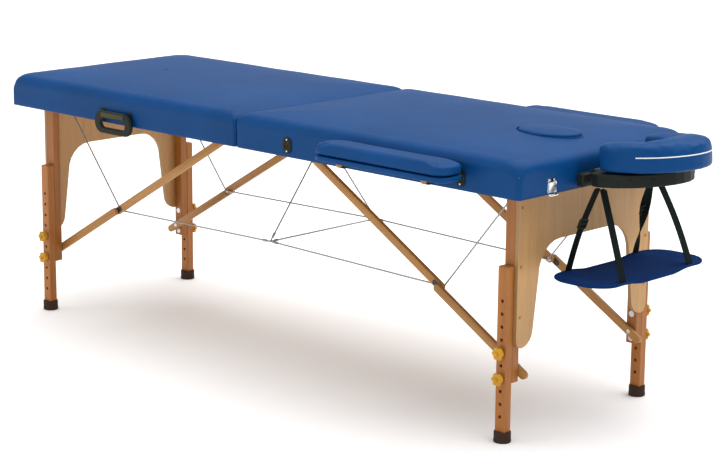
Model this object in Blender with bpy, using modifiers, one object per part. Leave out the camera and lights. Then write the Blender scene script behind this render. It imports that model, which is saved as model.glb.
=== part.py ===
"""Portable folding massage table: two padded halves on folding wooden legs, with a face cradle,
a hanging arm sling and two side armrests.

Metres, +Z up, floor at Z = 0. X runs from the foot end to the head end and Y from the front side to
the back side. The origin is on the floor, under the middle of the box round the whole object, so the
seam between the halves lies at X = SEAM_X. "Out" is the distance from the seam towards either end.
"""

import math

import bmesh
import bpy
from mathutils import Matrix, Vector

# Halves
HALF_LENGTH = 0.930
HALF_WIDTH = 0.3225
TOP_HEIGHT = 0.685
FRAME_BOTTOM = 0.595
FRAME_DEPTH = 0.048
RAIL = 0.019
DECK = 0.004
VINYL = 0.0012
GAP = 0.0003
SEAM_X = -0.1359

# Legs: each leg frame turns on an axle inside the frame and folds flat under the deck
AXLE_OUT = 0.850
AXLE_Z = 0.620
AXLE_RADIUS = 0.004
LEG_X = 0.030
LEG_Y = 0.023
LEG_BOTTOM = 0.142
LEG_TOP = 0.635
LEG_INNER_Y = 0.2285
PANEL = 0.009
PANEL_BOTTOM = 0.225
ARCH_TOP = 0.467
NOTCH_HALF = 0.105

# Leg extensions
EXTENSION_TOP = 0.423
EXTENSION_BOTTOM = 0.0165
HOLE_RADIUS = 0.0045
HOLE_SPACING = 0.031
LOWER_KNOB_Z = 0.1555
FOOT_RADIUS = 0.021
FOOT_HEIGHT = 0.027

# Braces: pivots of the folding brace on the frame bar and on the leg
FRAME_PIVOT_OUT = 0.075
FRAME_PIVOT_Z = 0.631
LEG_PIVOT_Z = 0.174
BRACE_WIDTH = 0.020
BRACE_THICKNESS = 0.0115
BRACE_STUB = 0.040
KNEE_CUTBACK = 0.014
STRAP = 0.003
UPPER_LAYER = (0.2040, 0.2160)
LOWER_LAYER = (0.2165, 0.2165 + BRACE_THICKNESS)
EYE_REACH = 0.009
EYE_LENGTH = 0.055

# Centre hinge and wire ropes
HINGE_Z = FRAME_BOTTOM - 0.004
KNUCKLE_RADIUS = 0.0035
KNUCKLES = 9
HINGE_HALF_LENGTH = 0.300
PIN_RADIUS = 0.0019
RUNNING_GAP = 0.0001
ROPE_RADIUS = 0.00125
ROPE_Y = 0.1995
HUB_Z = 0.330

# Face hole
FACE_HOLE_OUT = 0.755
FACE_HOLE_X = 0.085
FACE_HOLE_Y = 0.062
PLUG_LEDGE = 0.012
PLUG_PROUD = 0.009
PLUG_CLEARANCE = 0.0015

# Face cradle, tilted up a little at its outer end
CRADLE_TILT = math.radians(5)
TILT_OUT = 0.958
TILT_Z = 0.637
ARMS_OUT = (0.937, 0.957)
ARMS_HALF = 0.125
ARMS_Z = (0.603, 0.634)
CRADLE_PLATE = 0.030
CRADLE_HALF_WIDTH = 0.130
CRADLE_PLATE_LENGTH = 0.190
CUSHION_START = 0.022
CUSHION_LENGTH = 0.2235
CUSHION_THICKNESS = 0.070
POLE_Y = 0.085
POLE_Z = 0.6125
POLE_RADIUS = 0.007
POLE_START = 0.860
POLE_GAP = 0.0005

# Arm sling
SLING_Z = 0.400
SLING_OUT = (0.920, 1.090)
SLING_HALF_WIDTH = 0.215
SLING_THICKNESS = 0.008
STRAP_WIDTH = 0.020
STRAP_THICKNESS = 0.002
STRAP_TOP = (0.992, 0.105, 0.6015)
STRAP_BOTTOM_Y = 0.130

# Side armrests and accessory sockets
ARMREST_OUT = (0.365, 0.790)
ARMREST_Y = (0.3335, 0.4250)
ARMREST_TOP = 0.667
ARMREST_BOARD_Z = (0.6265, 0.6385)
ARMREST_POLE_OUT = (0.445, 0.715)
ARMREST_POLE_Z = 0.6225
ARMREST_POLE_RADIUS = 0.0075
SOCKET_OUT = (0.189, 0.757)
SOCKET_Z = 0.6245
SOCKET_RADIUS = 0.007

# Carry handle and latches
HANDLE_OUT = 0.4675
HANDLE_PIVOT_Z = 0.6215
HANDLE_Y = 0.3330
HANDLE_THICKNESS = 0.012
HANDLE_OUTER = (0.075, -0.0535, 0.0065)
HANDLE_SLOT = (0.050, -0.0375, -0.0130)
LATCH_Y = 0.207
LATCH_PIVOT_Z = 0.6225

ENDS = (("foot", -1), ("head", 1))
SIDES = (("front", -1), ("back", 1))
ALONG_Y = Matrix.Rotation(math.radians(90), 4, "X")
ALONG_X = Matrix(((0, 0, 1, 0), (1, 0, 0, 0), (0, 1, 0, 0), (0, 0, 0, 1)))

COLOURS = {
    "blue_vinyl": ((0.020, 0.110, 0.330), 0.42, 0.0),
    "foam": ((0.80, 0.76, 0.60), 0.95, 0.0),
    "plywood": ((0.66, 0.46, 0.26), 0.55, 0.0),
    "beech": ((0.56, 0.33, 0.16), 0.45, 0.0),
    "steel": ((0.55, 0.56, 0.57), 0.35, 1.0),
    "chrome": ((0.80, 0.80, 0.82), 0.12, 1.0),
    "black_rubber": ((0.030, 0.022, 0.018), 0.80, 0.0),
    "yellow_plastic": ((0.80, 0.50, 0.06), 0.45, 0.0),
    "black_plastic": ((0.020, 0.028, 0.022), 0.50, 0.0),
    "blue_fabric": ((0.012, 0.060, 0.210), 0.85, 0.0),
}


def clear_scene():
    for obj in list(bpy.data.objects):
        bpy.data.objects.remove(obj, do_unlink=True)


def new_collection(name, helpers=False):
    collection = bpy.data.collections.new(name)
    bpy.context.scene.collection.children.link(collection)
    collection.hide_render = helpers
    return collection


def new_material(name):
    colour, roughness, metallic = COLOURS[name]
    made = bpy.data.materials.new(name)
    made.use_nodes = True
    shader = made.node_tree.nodes["Principled BSDF"]
    shader.inputs["Base Color"].default_value = (*colour, 1.0)
    shader.inputs["Roughness"].default_value = roughness
    shader.inputs["Metallic"].default_value = metallic
    made.diffuse_color = (*colour, 1.0)
    return made


clear_scene()
PARTS = new_collection("portable_massage_table")
HELPERS = new_collection("cutters", helpers=True)
MATERIALS = {}


def material(name):
    """Each node has its own copy, so that its colour can be changed alone."""
    if name in MATERIALS:
        return MATERIALS[name].copy()
    MATERIALS[name] = new_material(name)
    return MATERIALS[name]


def x_at(end, out):
    """X of a place that is `out` from the seam, towards the foot (-1) or the head (+1)."""
    return SEAM_X + end * out


def span(first, second):
    return min(first, second), max(first, second)


def link(obj, finish):
    """Puts an object among the parts with a finish, or among the helpers with none."""
    if finish:
        PARTS.objects.link(obj)
        obj.data.materials.append(material(finish))
    else:
        HELPERS.objects.link(obj)
        obj.hide_render = True
        obj.display_type = "WIRE"
    return obj


def smooth(obj, angle=35):
    obj.data.shade_smooth()
    obj.data.set_sharp_from_angle(angle=math.radians(angle))
    return obj


def from_bmesh(name, bm, finish=None):
    bmesh.ops.recalc_face_normals(bm, faces=bm.faces)
    mesh = bpy.data.meshes.new(name)
    bm.to_mesh(mesh)
    bm.free()
    return link(bpy.data.objects.new(name, mesh), finish)


def box_in(bm, low, high):
    """Adds a box between two corners, and gives its vertices."""
    size = Vector(high) - Vector(low)
    centre = (Vector(high) + Vector(low)) / 2
    place = Matrix.Translation(centre) @ Matrix.Diagonal((*size, 1))
    return bmesh.ops.create_cube(bm, size=1, matrix=place)["verts"]


def box(name, low, high, finish=None, rounding=0.0, segments=1):
    """A box between two corners, given in any order."""
    bm = bmesh.new()
    pairs = [span(a, b) for a, b in zip(low, high)]
    box_in(bm, [pair[0] for pair in pairs], [pair[1] for pair in pairs])
    if rounding:
        bmesh.ops.bevel(
            bm, geom=bm.edges[:], offset=rounding, segments=segments, affect="EDGES", profile=0.5
        )
    return from_bmesh(name, bm, finish)


def rod_in(bm, start, end, radius, sides=16):
    """Adds a cylinder from start to end."""
    start, end = Vector(start), Vector(end)
    turn = (end - start).to_track_quat("Z", "Y").to_matrix().to_4x4()
    place = Matrix.Translation((start + end) / 2) @ turn
    bmesh.ops.create_cone(
        bm, cap_ends=True, segments=sides, radius1=radius, radius2=radius,
        depth=(end - start).length, matrix=place,
    )


def rod(name, start, end, radius, finish=None, sides=16):
    bm = bmesh.new()
    rod_in(bm, start, end, radius, sides)
    made = from_bmesh(name, bm, finish)
    return smooth(made) if finish else made


def rods(name, pairs, radius, sides=16):
    """A helper of several parallel rods, for cutting a row of holes at once."""
    bm = bmesh.new()
    for start, end in pairs:
        rod_in(bm, start, end, radius, sides)
    return from_bmesh(name, bm)


def curve_to_mesh(curve_obj, name, finish):
    """Turns a curve object into a closed mesh object and removes the curve."""
    bpy.context.view_layer.update()
    graph = bpy.context.evaluated_depsgraph_get()
    mesh = bpy.data.meshes.new_from_object(curve_obj.evaluated_get(graph))
    mesh.name = name
    bm = bmesh.new()
    bm.from_mesh(mesh)
    bmesh.ops.remove_doubles(bm, verts=bm.verts, dist=0.00001)
    bmesh.ops.recalc_face_normals(bm, faces=bm.faces)
    bm.to_mesh(mesh)
    bm.free()
    mesh.materials.clear()
    place = curve_obj.matrix_world.copy()
    bpy.data.objects.remove(curve_obj, do_unlink=True)
    made = link(bpy.data.objects.new(name, mesh), finish)
    made.matrix_world = place
    return made


def plate(name, outlines, thickness, place, finish=None, edge=0.0):
    """A flat outline, with any holes, extruded both ways from its own XY plane and put at `place`."""
    curve = bpy.data.curves.new(name + "_outline", "CURVE")
    curve.dimensions = "2D"
    curve.fill_mode = "BOTH"
    curve.extrude = thickness / 2 - edge
    curve.bevel_depth = edge
    curve.bevel_resolution = 0
    curve.offset = -edge
    for outline in outlines:
        spline = curve.splines.new("POLY")
        spline.points.add(len(outline) - 1)
        for point, (u, v) in zip(spline.points, outline):
            point.co = (u, v, 0, 1)
        spline.use_cyclic_u = True
    holder = bpy.data.objects.new(name + "_outline", curve)
    bpy.context.scene.collection.objects.link(holder)
    holder.matrix_world = place
    return curve_to_mesh(holder, name, finish)


def tube(name, points, radius, finish=None, cyclic=False, sides=2):
    """A round tube along a list of points."""
    curve = bpy.data.curves.new(name + "_line", "CURVE")
    curve.dimensions = "3D"
    curve.bevel_depth = radius
    curve.bevel_resolution = sides
    curve.use_fill_caps = not cyclic
    spline = curve.splines.new("POLY")
    spline.points.add(len(points) - 1)
    for point, where in zip(spline.points, points):
        point.co = (*where, 1)
    spline.use_cyclic_u = cyclic
    holder = bpy.data.objects.new(name + "_line", curve)
    bpy.context.scene.collection.objects.link(holder)
    made = curve_to_mesh(holder, name, finish)
    return smooth(made, 50) if finish else made


def combine(target, helper, operation):
    step = target.modifiers.new(operation.lower() + "_" + helper.name, "BOOLEAN")
    step.operation = operation
    step.solver = "EXACT"
    step.object = helper
    return target


def cut(target, helper):
    return combine(target, helper, "DIFFERENCE")


def join(target, helper):
    return combine(target, helper, "UNION")


def arc(centre, radius, start, end, steps):
    """Points on an arc, from one angle to another in degrees."""
    points = []
    for i in range(steps + 1):
        angle = math.radians(start + (end - start) * i / steps)
        points.append((centre[0] + radius * math.cos(angle), centre[1] + radius * math.sin(angle)))
    return points


def mirrored(points):
    """A half outline with its mirror image across the second axis, as one closed outline."""
    return points + [(-u, v) for u, v in reversed(points)]


def rounded_box(low, high, radius, steps=3):
    """A rectangle with round corners, anticlockwise."""
    corners = (
        ((high[0] - radius, high[1] - radius), 0),
        ((low[0] + radius, high[1] - radius), 90),
        ((low[0] + radius, low[1] + radius), 180),
        ((high[0] - radius, low[1] + radius), 270),
    )
    points = []
    for centre, start in corners:
        points += arc(centre, radius, start, start + 90, steps)
    return points


# Bodies: an empty on each joint's axis holds the pieces that move together.
PIVOTS = {}


def body(name, pivot, parent=None):
    empty = bpy.data.objects.new(name + "_body", None)
    empty.empty_display_size = 0.03
    PARTS.objects.link(empty)
    PIVOTS[name] = (empty, Vector(pivot))
    hang(empty, pivot, parent)


def hang(obj, pivot, parent):
    """Puts the object's origin at the pivot and makes it a child of the parent body."""
    pivot = Vector(pivot)
    if obj.data:
        obj.data.transform(Matrix.Translation(-pivot) @ obj.matrix_world)
        obj.matrix_world = Matrix.Identity(4)
    obj.location = pivot
    if parent:
        holder, centre = PIVOTS[parent]
        obj.parent = holder
        obj.matrix_parent_inverse = Matrix.Translation(-centre)


def ride(obj, name):
    hang(obj, PIVOTS[name][1], name)
    return obj


# The halves

DECK_Z = FRAME_BOTTOM + FRAME_DEPTH + GAP
FOAM_Z = DECK_Z + DECK + GAP
RAIL_OUTER = HALF_WIDTH - VINYL - GAP
RAIL_INNER = RAIL_OUTER - RAIL
END_OUTER = HALF_LENGTH - VINYL - GAP
END_INNER = END_OUTER - RAIL
SEAM_GAP = 0.0006
CORNER = 0.0125
CENTRE_OUTER = SEAM_GAP + VINYL + GAP
CENTRE_INNER = CENTRE_OUTER + RAIL


def open_shell(name, low, high, corner, finish):
    """A box with no underside, round edges and the thickness of the vinyl."""
    bm = bmesh.new()
    box_in(bm, low, high)
    bottom = [face for face in bm.faces if face.normal.z < -0.5]
    bmesh.ops.delete(bm, geom=bottom, context="FACES_ONLY")
    edges = [edge for edge in bm.edges if not edge.is_boundary]
    bmesh.ops.bevel(bm, geom=edges, offset=corner, segments=3, affect="EDGES", profile=0.5)
    made = from_bmesh(name, bm, finish)
    skin = made.modifiers.new("vinyl", "SOLIDIFY")
    skin.thickness = VINYL
    skin.offset = -1
    skin.use_even_offset = True
    return smooth(made)


def oval_bmesh(grow, low, high):
    """An upright oval rod on the face hole's axis."""
    bm = bmesh.new()
    x = x_at(1, FACE_HOLE_OUT)
    rod_in(bm, (x, 0, low), (x, 0, high), 1, sides=32)
    spread = Matrix.Diagonal((FACE_HOLE_X + grow, FACE_HOLE_Y + grow, 1, 1))
    move = Matrix.Translation((x, 0, 0))
    bmesh.ops.transform(bm, matrix=move @ spread @ move.inverted(), verts=bm.verts)
    return bm


def oval_cutter(name, grow, low, high):
    return from_bmesh(name, oval_bmesh(grow, low, high))


def side_holes(name, outs, z, radius):
    """Helper rods along Y through both side rails of the head half."""
    inner, outer = RAIL_INNER - 0.006, HALF_WIDTH + 0.01
    pairs = []
    for out in outs:
        for _, side in SIDES:
            x = x_at(1, out)
            pairs.append(((x, side * inner, z), (x, side * outer, z)))
    return rods(name, pairs, radius)


def end_holes(name, radius):
    """Helper rods along X through the end rail of the head half, for the cradle's poles."""
    inner, outer = x_at(1, END_INNER - 0.01), x_at(1, HALF_LENGTH + 0.01)
    ways = [side * POLE_Y for _, side in SIDES]
    return rods(name, [((inner, y, POLE_Z), (outer, y, POLE_Z)) for y in ways], radius)


def frame_outlines(end):
    """The glued frame from above: rails, the bar for the braces and two cleats that hold it."""
    bar_inner, bar_outer, bar_y = FRAME_PIVOT_OUT - 0.017, FRAME_PIVOT_OUT + 0.017, 0.2035
    cleat_y = 0.160
    outer = rounded_box((CENTRE_OUTER, -RAIL_OUTER), (END_OUTER, RAIL_OUTER), CORNER, 2)
    well_half = [(END_INNER, RAIL_INNER), (CENTRE_INNER, RAIL_INNER), (CENTRE_INNER, cleat_y),
                 (bar_inner, cleat_y), (bar_inner, bar_y), (bar_outer, bar_y)]
    well = well_half + [(u, -v) for u, v in reversed(well_half)]
    slot_y = cleat_y - 0.030
    slot = [(CENTRE_INNER, -slot_y), (bar_inner, -slot_y), (bar_inner, slot_y), (CENTRE_INNER, slot_y)]
    return [[(x_at(end, u), v) for u, v in outline] for outline in (outer, well, slot)]


def make_half(end_name, end):
    seam, far = x_at(end, SEAM_GAP), x_at(end, HALF_LENGTH)
    low_x, high_x = span(seam, far)
    cover = open_shell(
        end_name + "_cover", (low_x, -HALF_WIDTH, FRAME_BOTTOM + GAP),
        (high_x, HALF_WIDTH, TOP_HEIGHT), CORNER, "blue_vinyl",
    )
    near, end_x = x_at(end, CENTRE_OUTER), x_at(end, END_OUTER)
    foam = box(
        end_name + "_foam", (near, -RAIL_OUTER, FOAM_Z),
        (end_x, RAIL_OUTER, TOP_HEIGHT - VINYL - GAP), "foam", CORNER, 2,
    )
    board = rounded_box(*zip(span(near, end_x), (-RAIL_OUTER, RAIL_OUTER)), CORNER, 2)
    middle = Matrix.Translation((0, 0, DECK_Z + DECK / 2))
    deck = plate(end_name + "_deck", [board], DECK, middle, "plywood")
    middle = Matrix.Translation((0, 0, FRAME_BOTTOM + FRAME_DEPTH / 2))
    frame = plate(end_name + "_frame", frame_outlines(end), FRAME_DEPTH, middle, "beech")
    axle_x = x_at(end, AXLE_OUT)
    axle_end = RAIL_INNER + 0.006
    bore_end = axle_end + 0.002
    bore = (axle_x, -bore_end, AXLE_Z), (axle_x, bore_end, AXLE_Z)
    cut(frame, rod(end_name + "_axle_bores", *bore, AXLE_RADIUS + GAP))
    half = end_name + "_half"
    if end > 0:
        oval = oval_cutter("face_hole_cutter", 0, FOAM_Z - 0.001, TOP_HEIGHT + 0.05)
        cut(cover, oval)
        cut(foam, oval)
        cut(deck, oval_cutter("ledge_cutter", -PLUG_LEDGE, DECK_Z - 0.01, DECK_Z + 0.01))
        bore = ARMREST_POLE_RADIUS + POLE_GAP
        poles = side_holes("armrest_bores", ARMREST_POLE_OUT, ARMREST_POLE_Z, bore)
        sockets = side_holes("socket_bores", SOCKET_OUT, SOCKET_Z, SOCKET_RADIUS)
        cradle = end_holes("cradle_bores", POLE_RADIUS + POLE_GAP)
        for helper in (poles, sockets, cradle):
            cut(frame, helper)
            cut(cover, helper)
    for piece in (cover, foam, deck, frame):
        ride(piece, half)
    ends = (axle_x, -axle_end, AXLE_Z), (axle_x, axle_end, AXLE_Z)
    ride(rod(end_name + "_leg_axle", *ends, AXLE_RADIUS, "steel"), half)


def make_plug():
    """The padded plug stands on the ledge that the smaller hole in the deck leaves."""
    bm = oval_bmesh(-PLUG_CLEARANCE, FOAM_Z, TOP_HEIGHT + PLUG_PROUD)
    rim = [edge for edge in bm.edges if all(v.co.z > TOP_HEIGHT for v in edge.verts)]
    bmesh.ops.bevel(bm, geom=rim, offset=0.004, segments=2, affect="EDGES", profile=0.5)
    plug = smooth(from_bmesh("face_hole_plug", bm, "blue_vinyl"))
    ride(plug, "face_hole_plug")


# Leg frames

def panel_outline():
    """The end panel: a notch at the top that clears the cradle poles, two lobes and an arch."""
    outer = LEG_INNER_Y + LEG_Y
    lobe = 0.020
    inner_lobe = 0.040
    corner = 0.075
    lobe_y = outer - lobe
    spring = 0.174
    top = [(NOTCH_HALF, FRAME_BOTTOM + 0.005), (NOTCH_HALF, 0.629), (outer, 0.629)]
    heel = arc((lobe_y, PANEL_BOTTOM + lobe), lobe, 0, -90, 4)
    rise = arc((lobe_y, PANEL_BOTTOM + inner_lobe), inner_lobe, -90, -172, 5)[1:]
    arch = arc((spring - corner, ARCH_TOP - corner), corner, 0, 90, 6)
    return mirrored(top + heel + rise + arch)


def make_leg(end_name, end, side_name, side):
    x = x_at(end, AXLE_OUT)
    inner, outer = side * LEG_INNER_Y, side * (LEG_INNER_Y + LEG_Y)
    name = end_name + "_" + side_name + "_leg"
    low, high = (x - LEG_X / 2, inner, LEG_BOTTOM), (x + LEG_X / 2, outer, LEG_TOP)
    leg = box(name, low, high, "beech", 0.0015)
    near, far = inner - side * 0.01, outer + side * 0.01
    heights = (LOWER_KNOB_Z, LOWER_KNOB_Z + 2 * HOLE_SPACING)
    bolts = [((x, near, z), (x, far, z)) for z in heights]
    cut(leg, rods(name + "_bolt_bores", bolts, HOLE_RADIUS, sides=12))
    cut(leg, rod(name + "_axle_bore", (x, near, AXLE_Z), (x, far, AXLE_Z), AXLE_RADIUS + GAP))
    ride(leg, end_name + "_legs")


def make_panel(end_name, end):
    x = x_at(end, AXLE_OUT + LEG_X / 2 + GAP + PANEL / 2)
    place = Matrix.Translation((x, 0, 0)) @ ALONG_X
    panel = plate(end_name + "_end_panel", [panel_outline()], PANEL, place, "plywood")
    ride(panel, end_name + "_legs")


def make_extension(end_name, end, side_name, side):
    x = x_at(end, AXLE_OUT)
    inner = side * (LEG_INNER_Y + LEG_Y + GAP)
    outer = inner + side * LEG_Y
    prefix = end_name + "_" + side_name
    name = prefix + "_leg_extension"
    low, high = (x - LEG_X / 2, inner, EXTENSION_BOTTOM), (x + LEG_X / 2, outer, EXTENSION_TOP)
    extension = box(name, low, high, "beech", 0.0015)
    heights = [LOWER_KNOB_Z + i * HOLE_SPACING for i in range(-3, 7)]
    near, far = inner - side * 0.01, outer + side * 0.01
    holes = [((x, near, z), (x, far, z)) for z in heights]
    cut(extension, rods(name + "_holes", holes, HOLE_RADIUS, sides=10))
    ride(extension, name)
    make_foot(prefix, x, (inner + outer) / 2, name)


def make_foot(prefix, x, y, body_name):
    """A turned rubber foot with a socket that holds the end of the leg extension."""
    edge, wall = FOOT_RADIUS - 0.0015, FOOT_RADIUS - 0.0005
    profile = [(0.0, FOOT_HEIGHT), (edge, FOOT_HEIGHT), (wall, FOOT_HEIGHT - 0.002), (wall, 0.008),
               (FOOT_RADIUS, 0.006), (FOOT_RADIUS, 0.0015), (edge, 0.0), (0.0, 0.0)]
    mesh = bpy.data.meshes.new(prefix + "_foot")
    edges = [(i, i + 1) for i in range(len(profile) - 1)]
    mesh.from_pydata([(r, 0, z) for r, z in profile], edges, [])
    foot = link(bpy.data.objects.new(prefix + "_foot", mesh), "black_rubber")
    turn = foot.modifiers.new("turned", "SCREW")
    turn.steps = 20
    turn.render_steps = 20
    turn.use_merge_vertices = True
    turn.merge_threshold = 0.00001
    foot.location = (x, y, 0)
    bpy.context.view_layer.update()
    socket = box(
        prefix + "_foot_socket",
        (x - LEG_X / 2 - GAP, y - LEG_Y / 2 - GAP, EXTENSION_BOTTOM - GAP),
        (x + LEG_X / 2 + GAP, y + LEG_Y / 2 + GAP, FOOT_HEIGHT + 0.01),
    )
    cut(foot, socket)
    foot.data.shade_smooth()
    holder, centre = PIVOTS[body_name]
    foot.parent = holder
    foot.matrix_parent_inverse = Matrix.Translation(-centre)


def star_outline(radius, dip, lobes=6, steps=36):
    """A round outline with shallow scallops between its lobes."""
    points = []
    for i in range(steps):
        angle = 2 * math.pi * i / steps
        reach = radius - dip * (1 - math.cos(lobes * angle)) / 2
        points.append((reach * math.cos(angle), reach * math.sin(angle)))
    return points


def make_knob(name, x, side, z, holder):
    """A star knob whose hub bears on the extension, with the tip of its stud showing outside."""
    face = side * (LEG_INNER_Y + 2 * LEG_Y + 2 * GAP + 0.0003)
    hub_end = face + side * 0.007
    star_end = face + side * 0.016
    middle = (hub_end + star_end) / 2
    place = Matrix.Translation((x, middle, z)) @ ALONG_Y
    thickness = abs(star_end - hub_end)
    knob = plate(name, [star_outline(0.0160, 0.0035)], thickness, place, "yellow_plastic", 0.0015)
    join(knob, rod(name + "_hub", (x, face, z), (x, middle, z), 0.0090))
    join(knob, rod(name + "_stud", (x, middle, z), (x, star_end + side * 0.0025, z), 0.0040, sides=12))
    body(name, (x, face, z), holder)
    ride(knob, name)


# Braces

def brace_lengths():
    """Upper and lower lengths for which the brace is straight when open and flat when folded.

    Open, the two pieces lie end to end from the frame pivot to the leg pivot. Folded, the upper
    piece is level and the lower piece lies back along it, ending at the leg pivot's folded place.
    """
    rise = FRAME_PIVOT_Z - LEG_PIVOT_Z
    reach = math.hypot(AXLE_OUT - FRAME_PIVOT_OUT, rise)
    folded = AXLE_OUT - (AXLE_Z - LEG_PIVOT_Z) - FRAME_PIVOT_OUT
    step = FRAME_PIVOT_Z - AXLE_Z
    upper = (reach**2 - folded**2 - step**2) / (2 * (reach - folded))
    return upper, reach - upper


UPPER_LENGTH, LOWER_LENGTH = brace_lengths()
BRACE_SLOPE = math.atan2(FRAME_PIVOT_Z - LEG_PIVOT_Z, AXLE_OUT - FRAME_PIVOT_OUT)


def bar_outline(start, end, half):
    """A bar along its own X axis, with a round start and a square end."""
    return arc((start + half, 0), half, 90, 270, 5) + [(end, -half), (end, half)]


def eye_outline(start, end, half):
    return [(start, half), (start, -half)] + arc((end - half, 0), half, -90, 90, 5)


def brace_place(pivot, direction, y):
    """Frame of a brace piece: X from its pivot to the knee, and Z across the table."""
    turn = Matrix.Rotation(-math.atan2(direction[1], direction[0]), 4, "Y")
    return Matrix.Translation((pivot[0], y, pivot[1])) @ turn @ ALONG_Y


def brace_piece(name, pivot, direction, side, layer, start, length, strap_outside):
    """One wooden piece of a brace with the steel eye of its knee.

    `pivot` is its pivot in X and Z, `direction` the way to the knee, and `layer` its inner and outer Y.
    """
    wood = bar_outline(start, length - KNEE_CUTBACK, BRACE_WIDTH / 2)
    place = brace_place(pivot, direction, side * sum(layer) / 2)
    piece = plate(name, [wood], layer[1] - layer[0], place, "beech")
    strap_y = layer[1] - STRAP / 2 if strap_outside else layer[0] + STRAP / 2
    eye = eye_outline(length - EYE_LENGTH, length + EYE_REACH, EYE_REACH)
    join(piece, plate(name + "_eye", [eye], STRAP, brace_place(pivot, direction, side * strap_y)))
    return piece


def make_brace(end_name, end, side_name, side):
    along = Vector((end * math.cos(BRACE_SLOPE), -math.sin(BRACE_SLOPE)))
    frame_pivot = Vector((x_at(end, FRAME_PIVOT_OUT), FRAME_PIVOT_Z))
    leg_pivot = Vector((x_at(end, AXLE_OUT), LEG_PIVOT_Z))
    prefix = end_name + "_" + side_name
    name = prefix + "_upper_brace"
    start = -BRACE_WIDTH / 2
    body(name, (frame_pivot[0], side * UPPER_LAYER[0], frame_pivot[1]), end_name + "_half")
    ride(brace_piece(name, frame_pivot, along, side, UPPER_LAYER, start, UPPER_LENGTH, True), name)
    name = prefix + "_lower_brace"
    start = -BRACE_STUB
    body(name, (leg_pivot[0], side * LOWER_LAYER[0], leg_pivot[1]), end_name + "_legs")
    ride(brace_piece(name, leg_pivot, -along, side, LOWER_LAYER, start, LOWER_LENGTH, False), name)


# Centre hinge and wire ropes

def make_hinge():
    """A piano hinge under the two centre rails. Its pin floats, and the wire triangle hangs from it."""
    reach = HINGE_HALF_LENGTH - 0.0004
    pitch = 2 * HINGE_HALF_LENGTH / KNUCKLES
    for end_name, end in ENDS:
        name = end_name + "_hinge_leaf"
        top = FRAME_BOTTOM - GAP
        leaf = box(name, (x_at(end, 0.0045), -HINGE_HALF_LENGTH, top - 0.0012),
                   (x_at(end, 0.0195), HINGE_HALF_LENGTH, top), "steel")
        first = 0 if end < 0 else 1
        for i in range(first, KNUCKLES, 2):
            low = -HINGE_HALF_LENGTH + i * pitch + 0.0004
            high = low + pitch - 0.0008
            corners = (x_at(end, 0.0010), low, top - 0.0012), (x_at(end, 0.0060), high, top)
            join(leaf, box(f"{name}_tab_{i}", *corners))
            ends = (x_at(end, 0), low, HINGE_Z), (x_at(end, 0), high, HINGE_Z)
            join(leaf, rod(f"{name}_knuckle_{i}", *ends, KNUCKLE_RADIUS, sides=12))
        bore = (SEAM_X, -reach - 0.01, HINGE_Z), (SEAM_X, reach + 0.01, HINGE_Z)
        cut(leaf, rod(name + "_bore", *bore, PIN_RADIUS + RUNNING_GAP))
        ride(leaf, end_name + "_half")
    ends = (SEAM_X, -reach, HINGE_Z), (SEAM_X, reach, HINGE_Z)
    ride(rod("centre_hinge_pin", *ends, PIN_RADIUS, "steel"), "centre_stay")


def make_ropes():
    """The ropes from the leg axles over the knees to the two hubs, and those up to the seam."""
    knee_out = FRAME_PIVOT_OUT + UPPER_LENGTH * math.cos(BRACE_SLOPE)
    knee_z = FRAME_PIVOT_Z - UPPER_LENGTH * math.sin(BRACE_SLOPE)
    for end_name, end in ENDS:
        for side_name, side in SIDES:
            y = side * ROPE_Y
            points = [
                (x_at(end, AXLE_OUT - 0.004), y, AXLE_Z - 0.0065),
                (x_at(end, knee_out), y, knee_z),
                (x_at(end, 0.0016), y, HUB_Z),
            ]
            rope = tube(f"{end_name}_{side_name}_rope", points, ROPE_RADIUS, "steel")
            ride(rope, "centre_stay")
    apex = HINGE_Z - KNUCKLE_RADIUS - 0.003
    lines = [(SEAM_X, -ROPE_Y, HUB_Z), (SEAM_X, 0, apex), (SEAM_X, ROPE_Y, HUB_Z)]
    centre = tube("centre_rope", lines, ROPE_RADIUS, "steel", cyclic=True)
    ride(centre, "centre_stay")


# Face cradle

def cradle_place(height):
    """Frame of the tilted cradle: X outwards, Y across and Z square to the plate."""
    tilt = Matrix.Rotation(-CRADLE_TILT, 4, "Y")
    return Matrix.Translation((x_at(1, TILT_OUT), 0, TILT_Z)) @ tilt @ Matrix.Translation((0, 0, height))


def crescent(start, length, half_width, inner_half, inner_depth):
    """A U open towards the table, with a round outer end and round arm tips."""
    tip = (half_width - inner_half) / 2
    outer_end = arc((length - half_width, 0), half_width, -90, 90, 14)
    back_tip = arc((start + tip, half_width - tip), tip, 90, 270, 5)
    inner_end = arc((inner_depth - inner_half, 0), inner_half, 90, -90, 8)
    front_tip = arc((start + tip, -half_width + tip), tip, 90, 270, 5)
    return outer_end + back_tip + inner_end + front_tip


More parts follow.
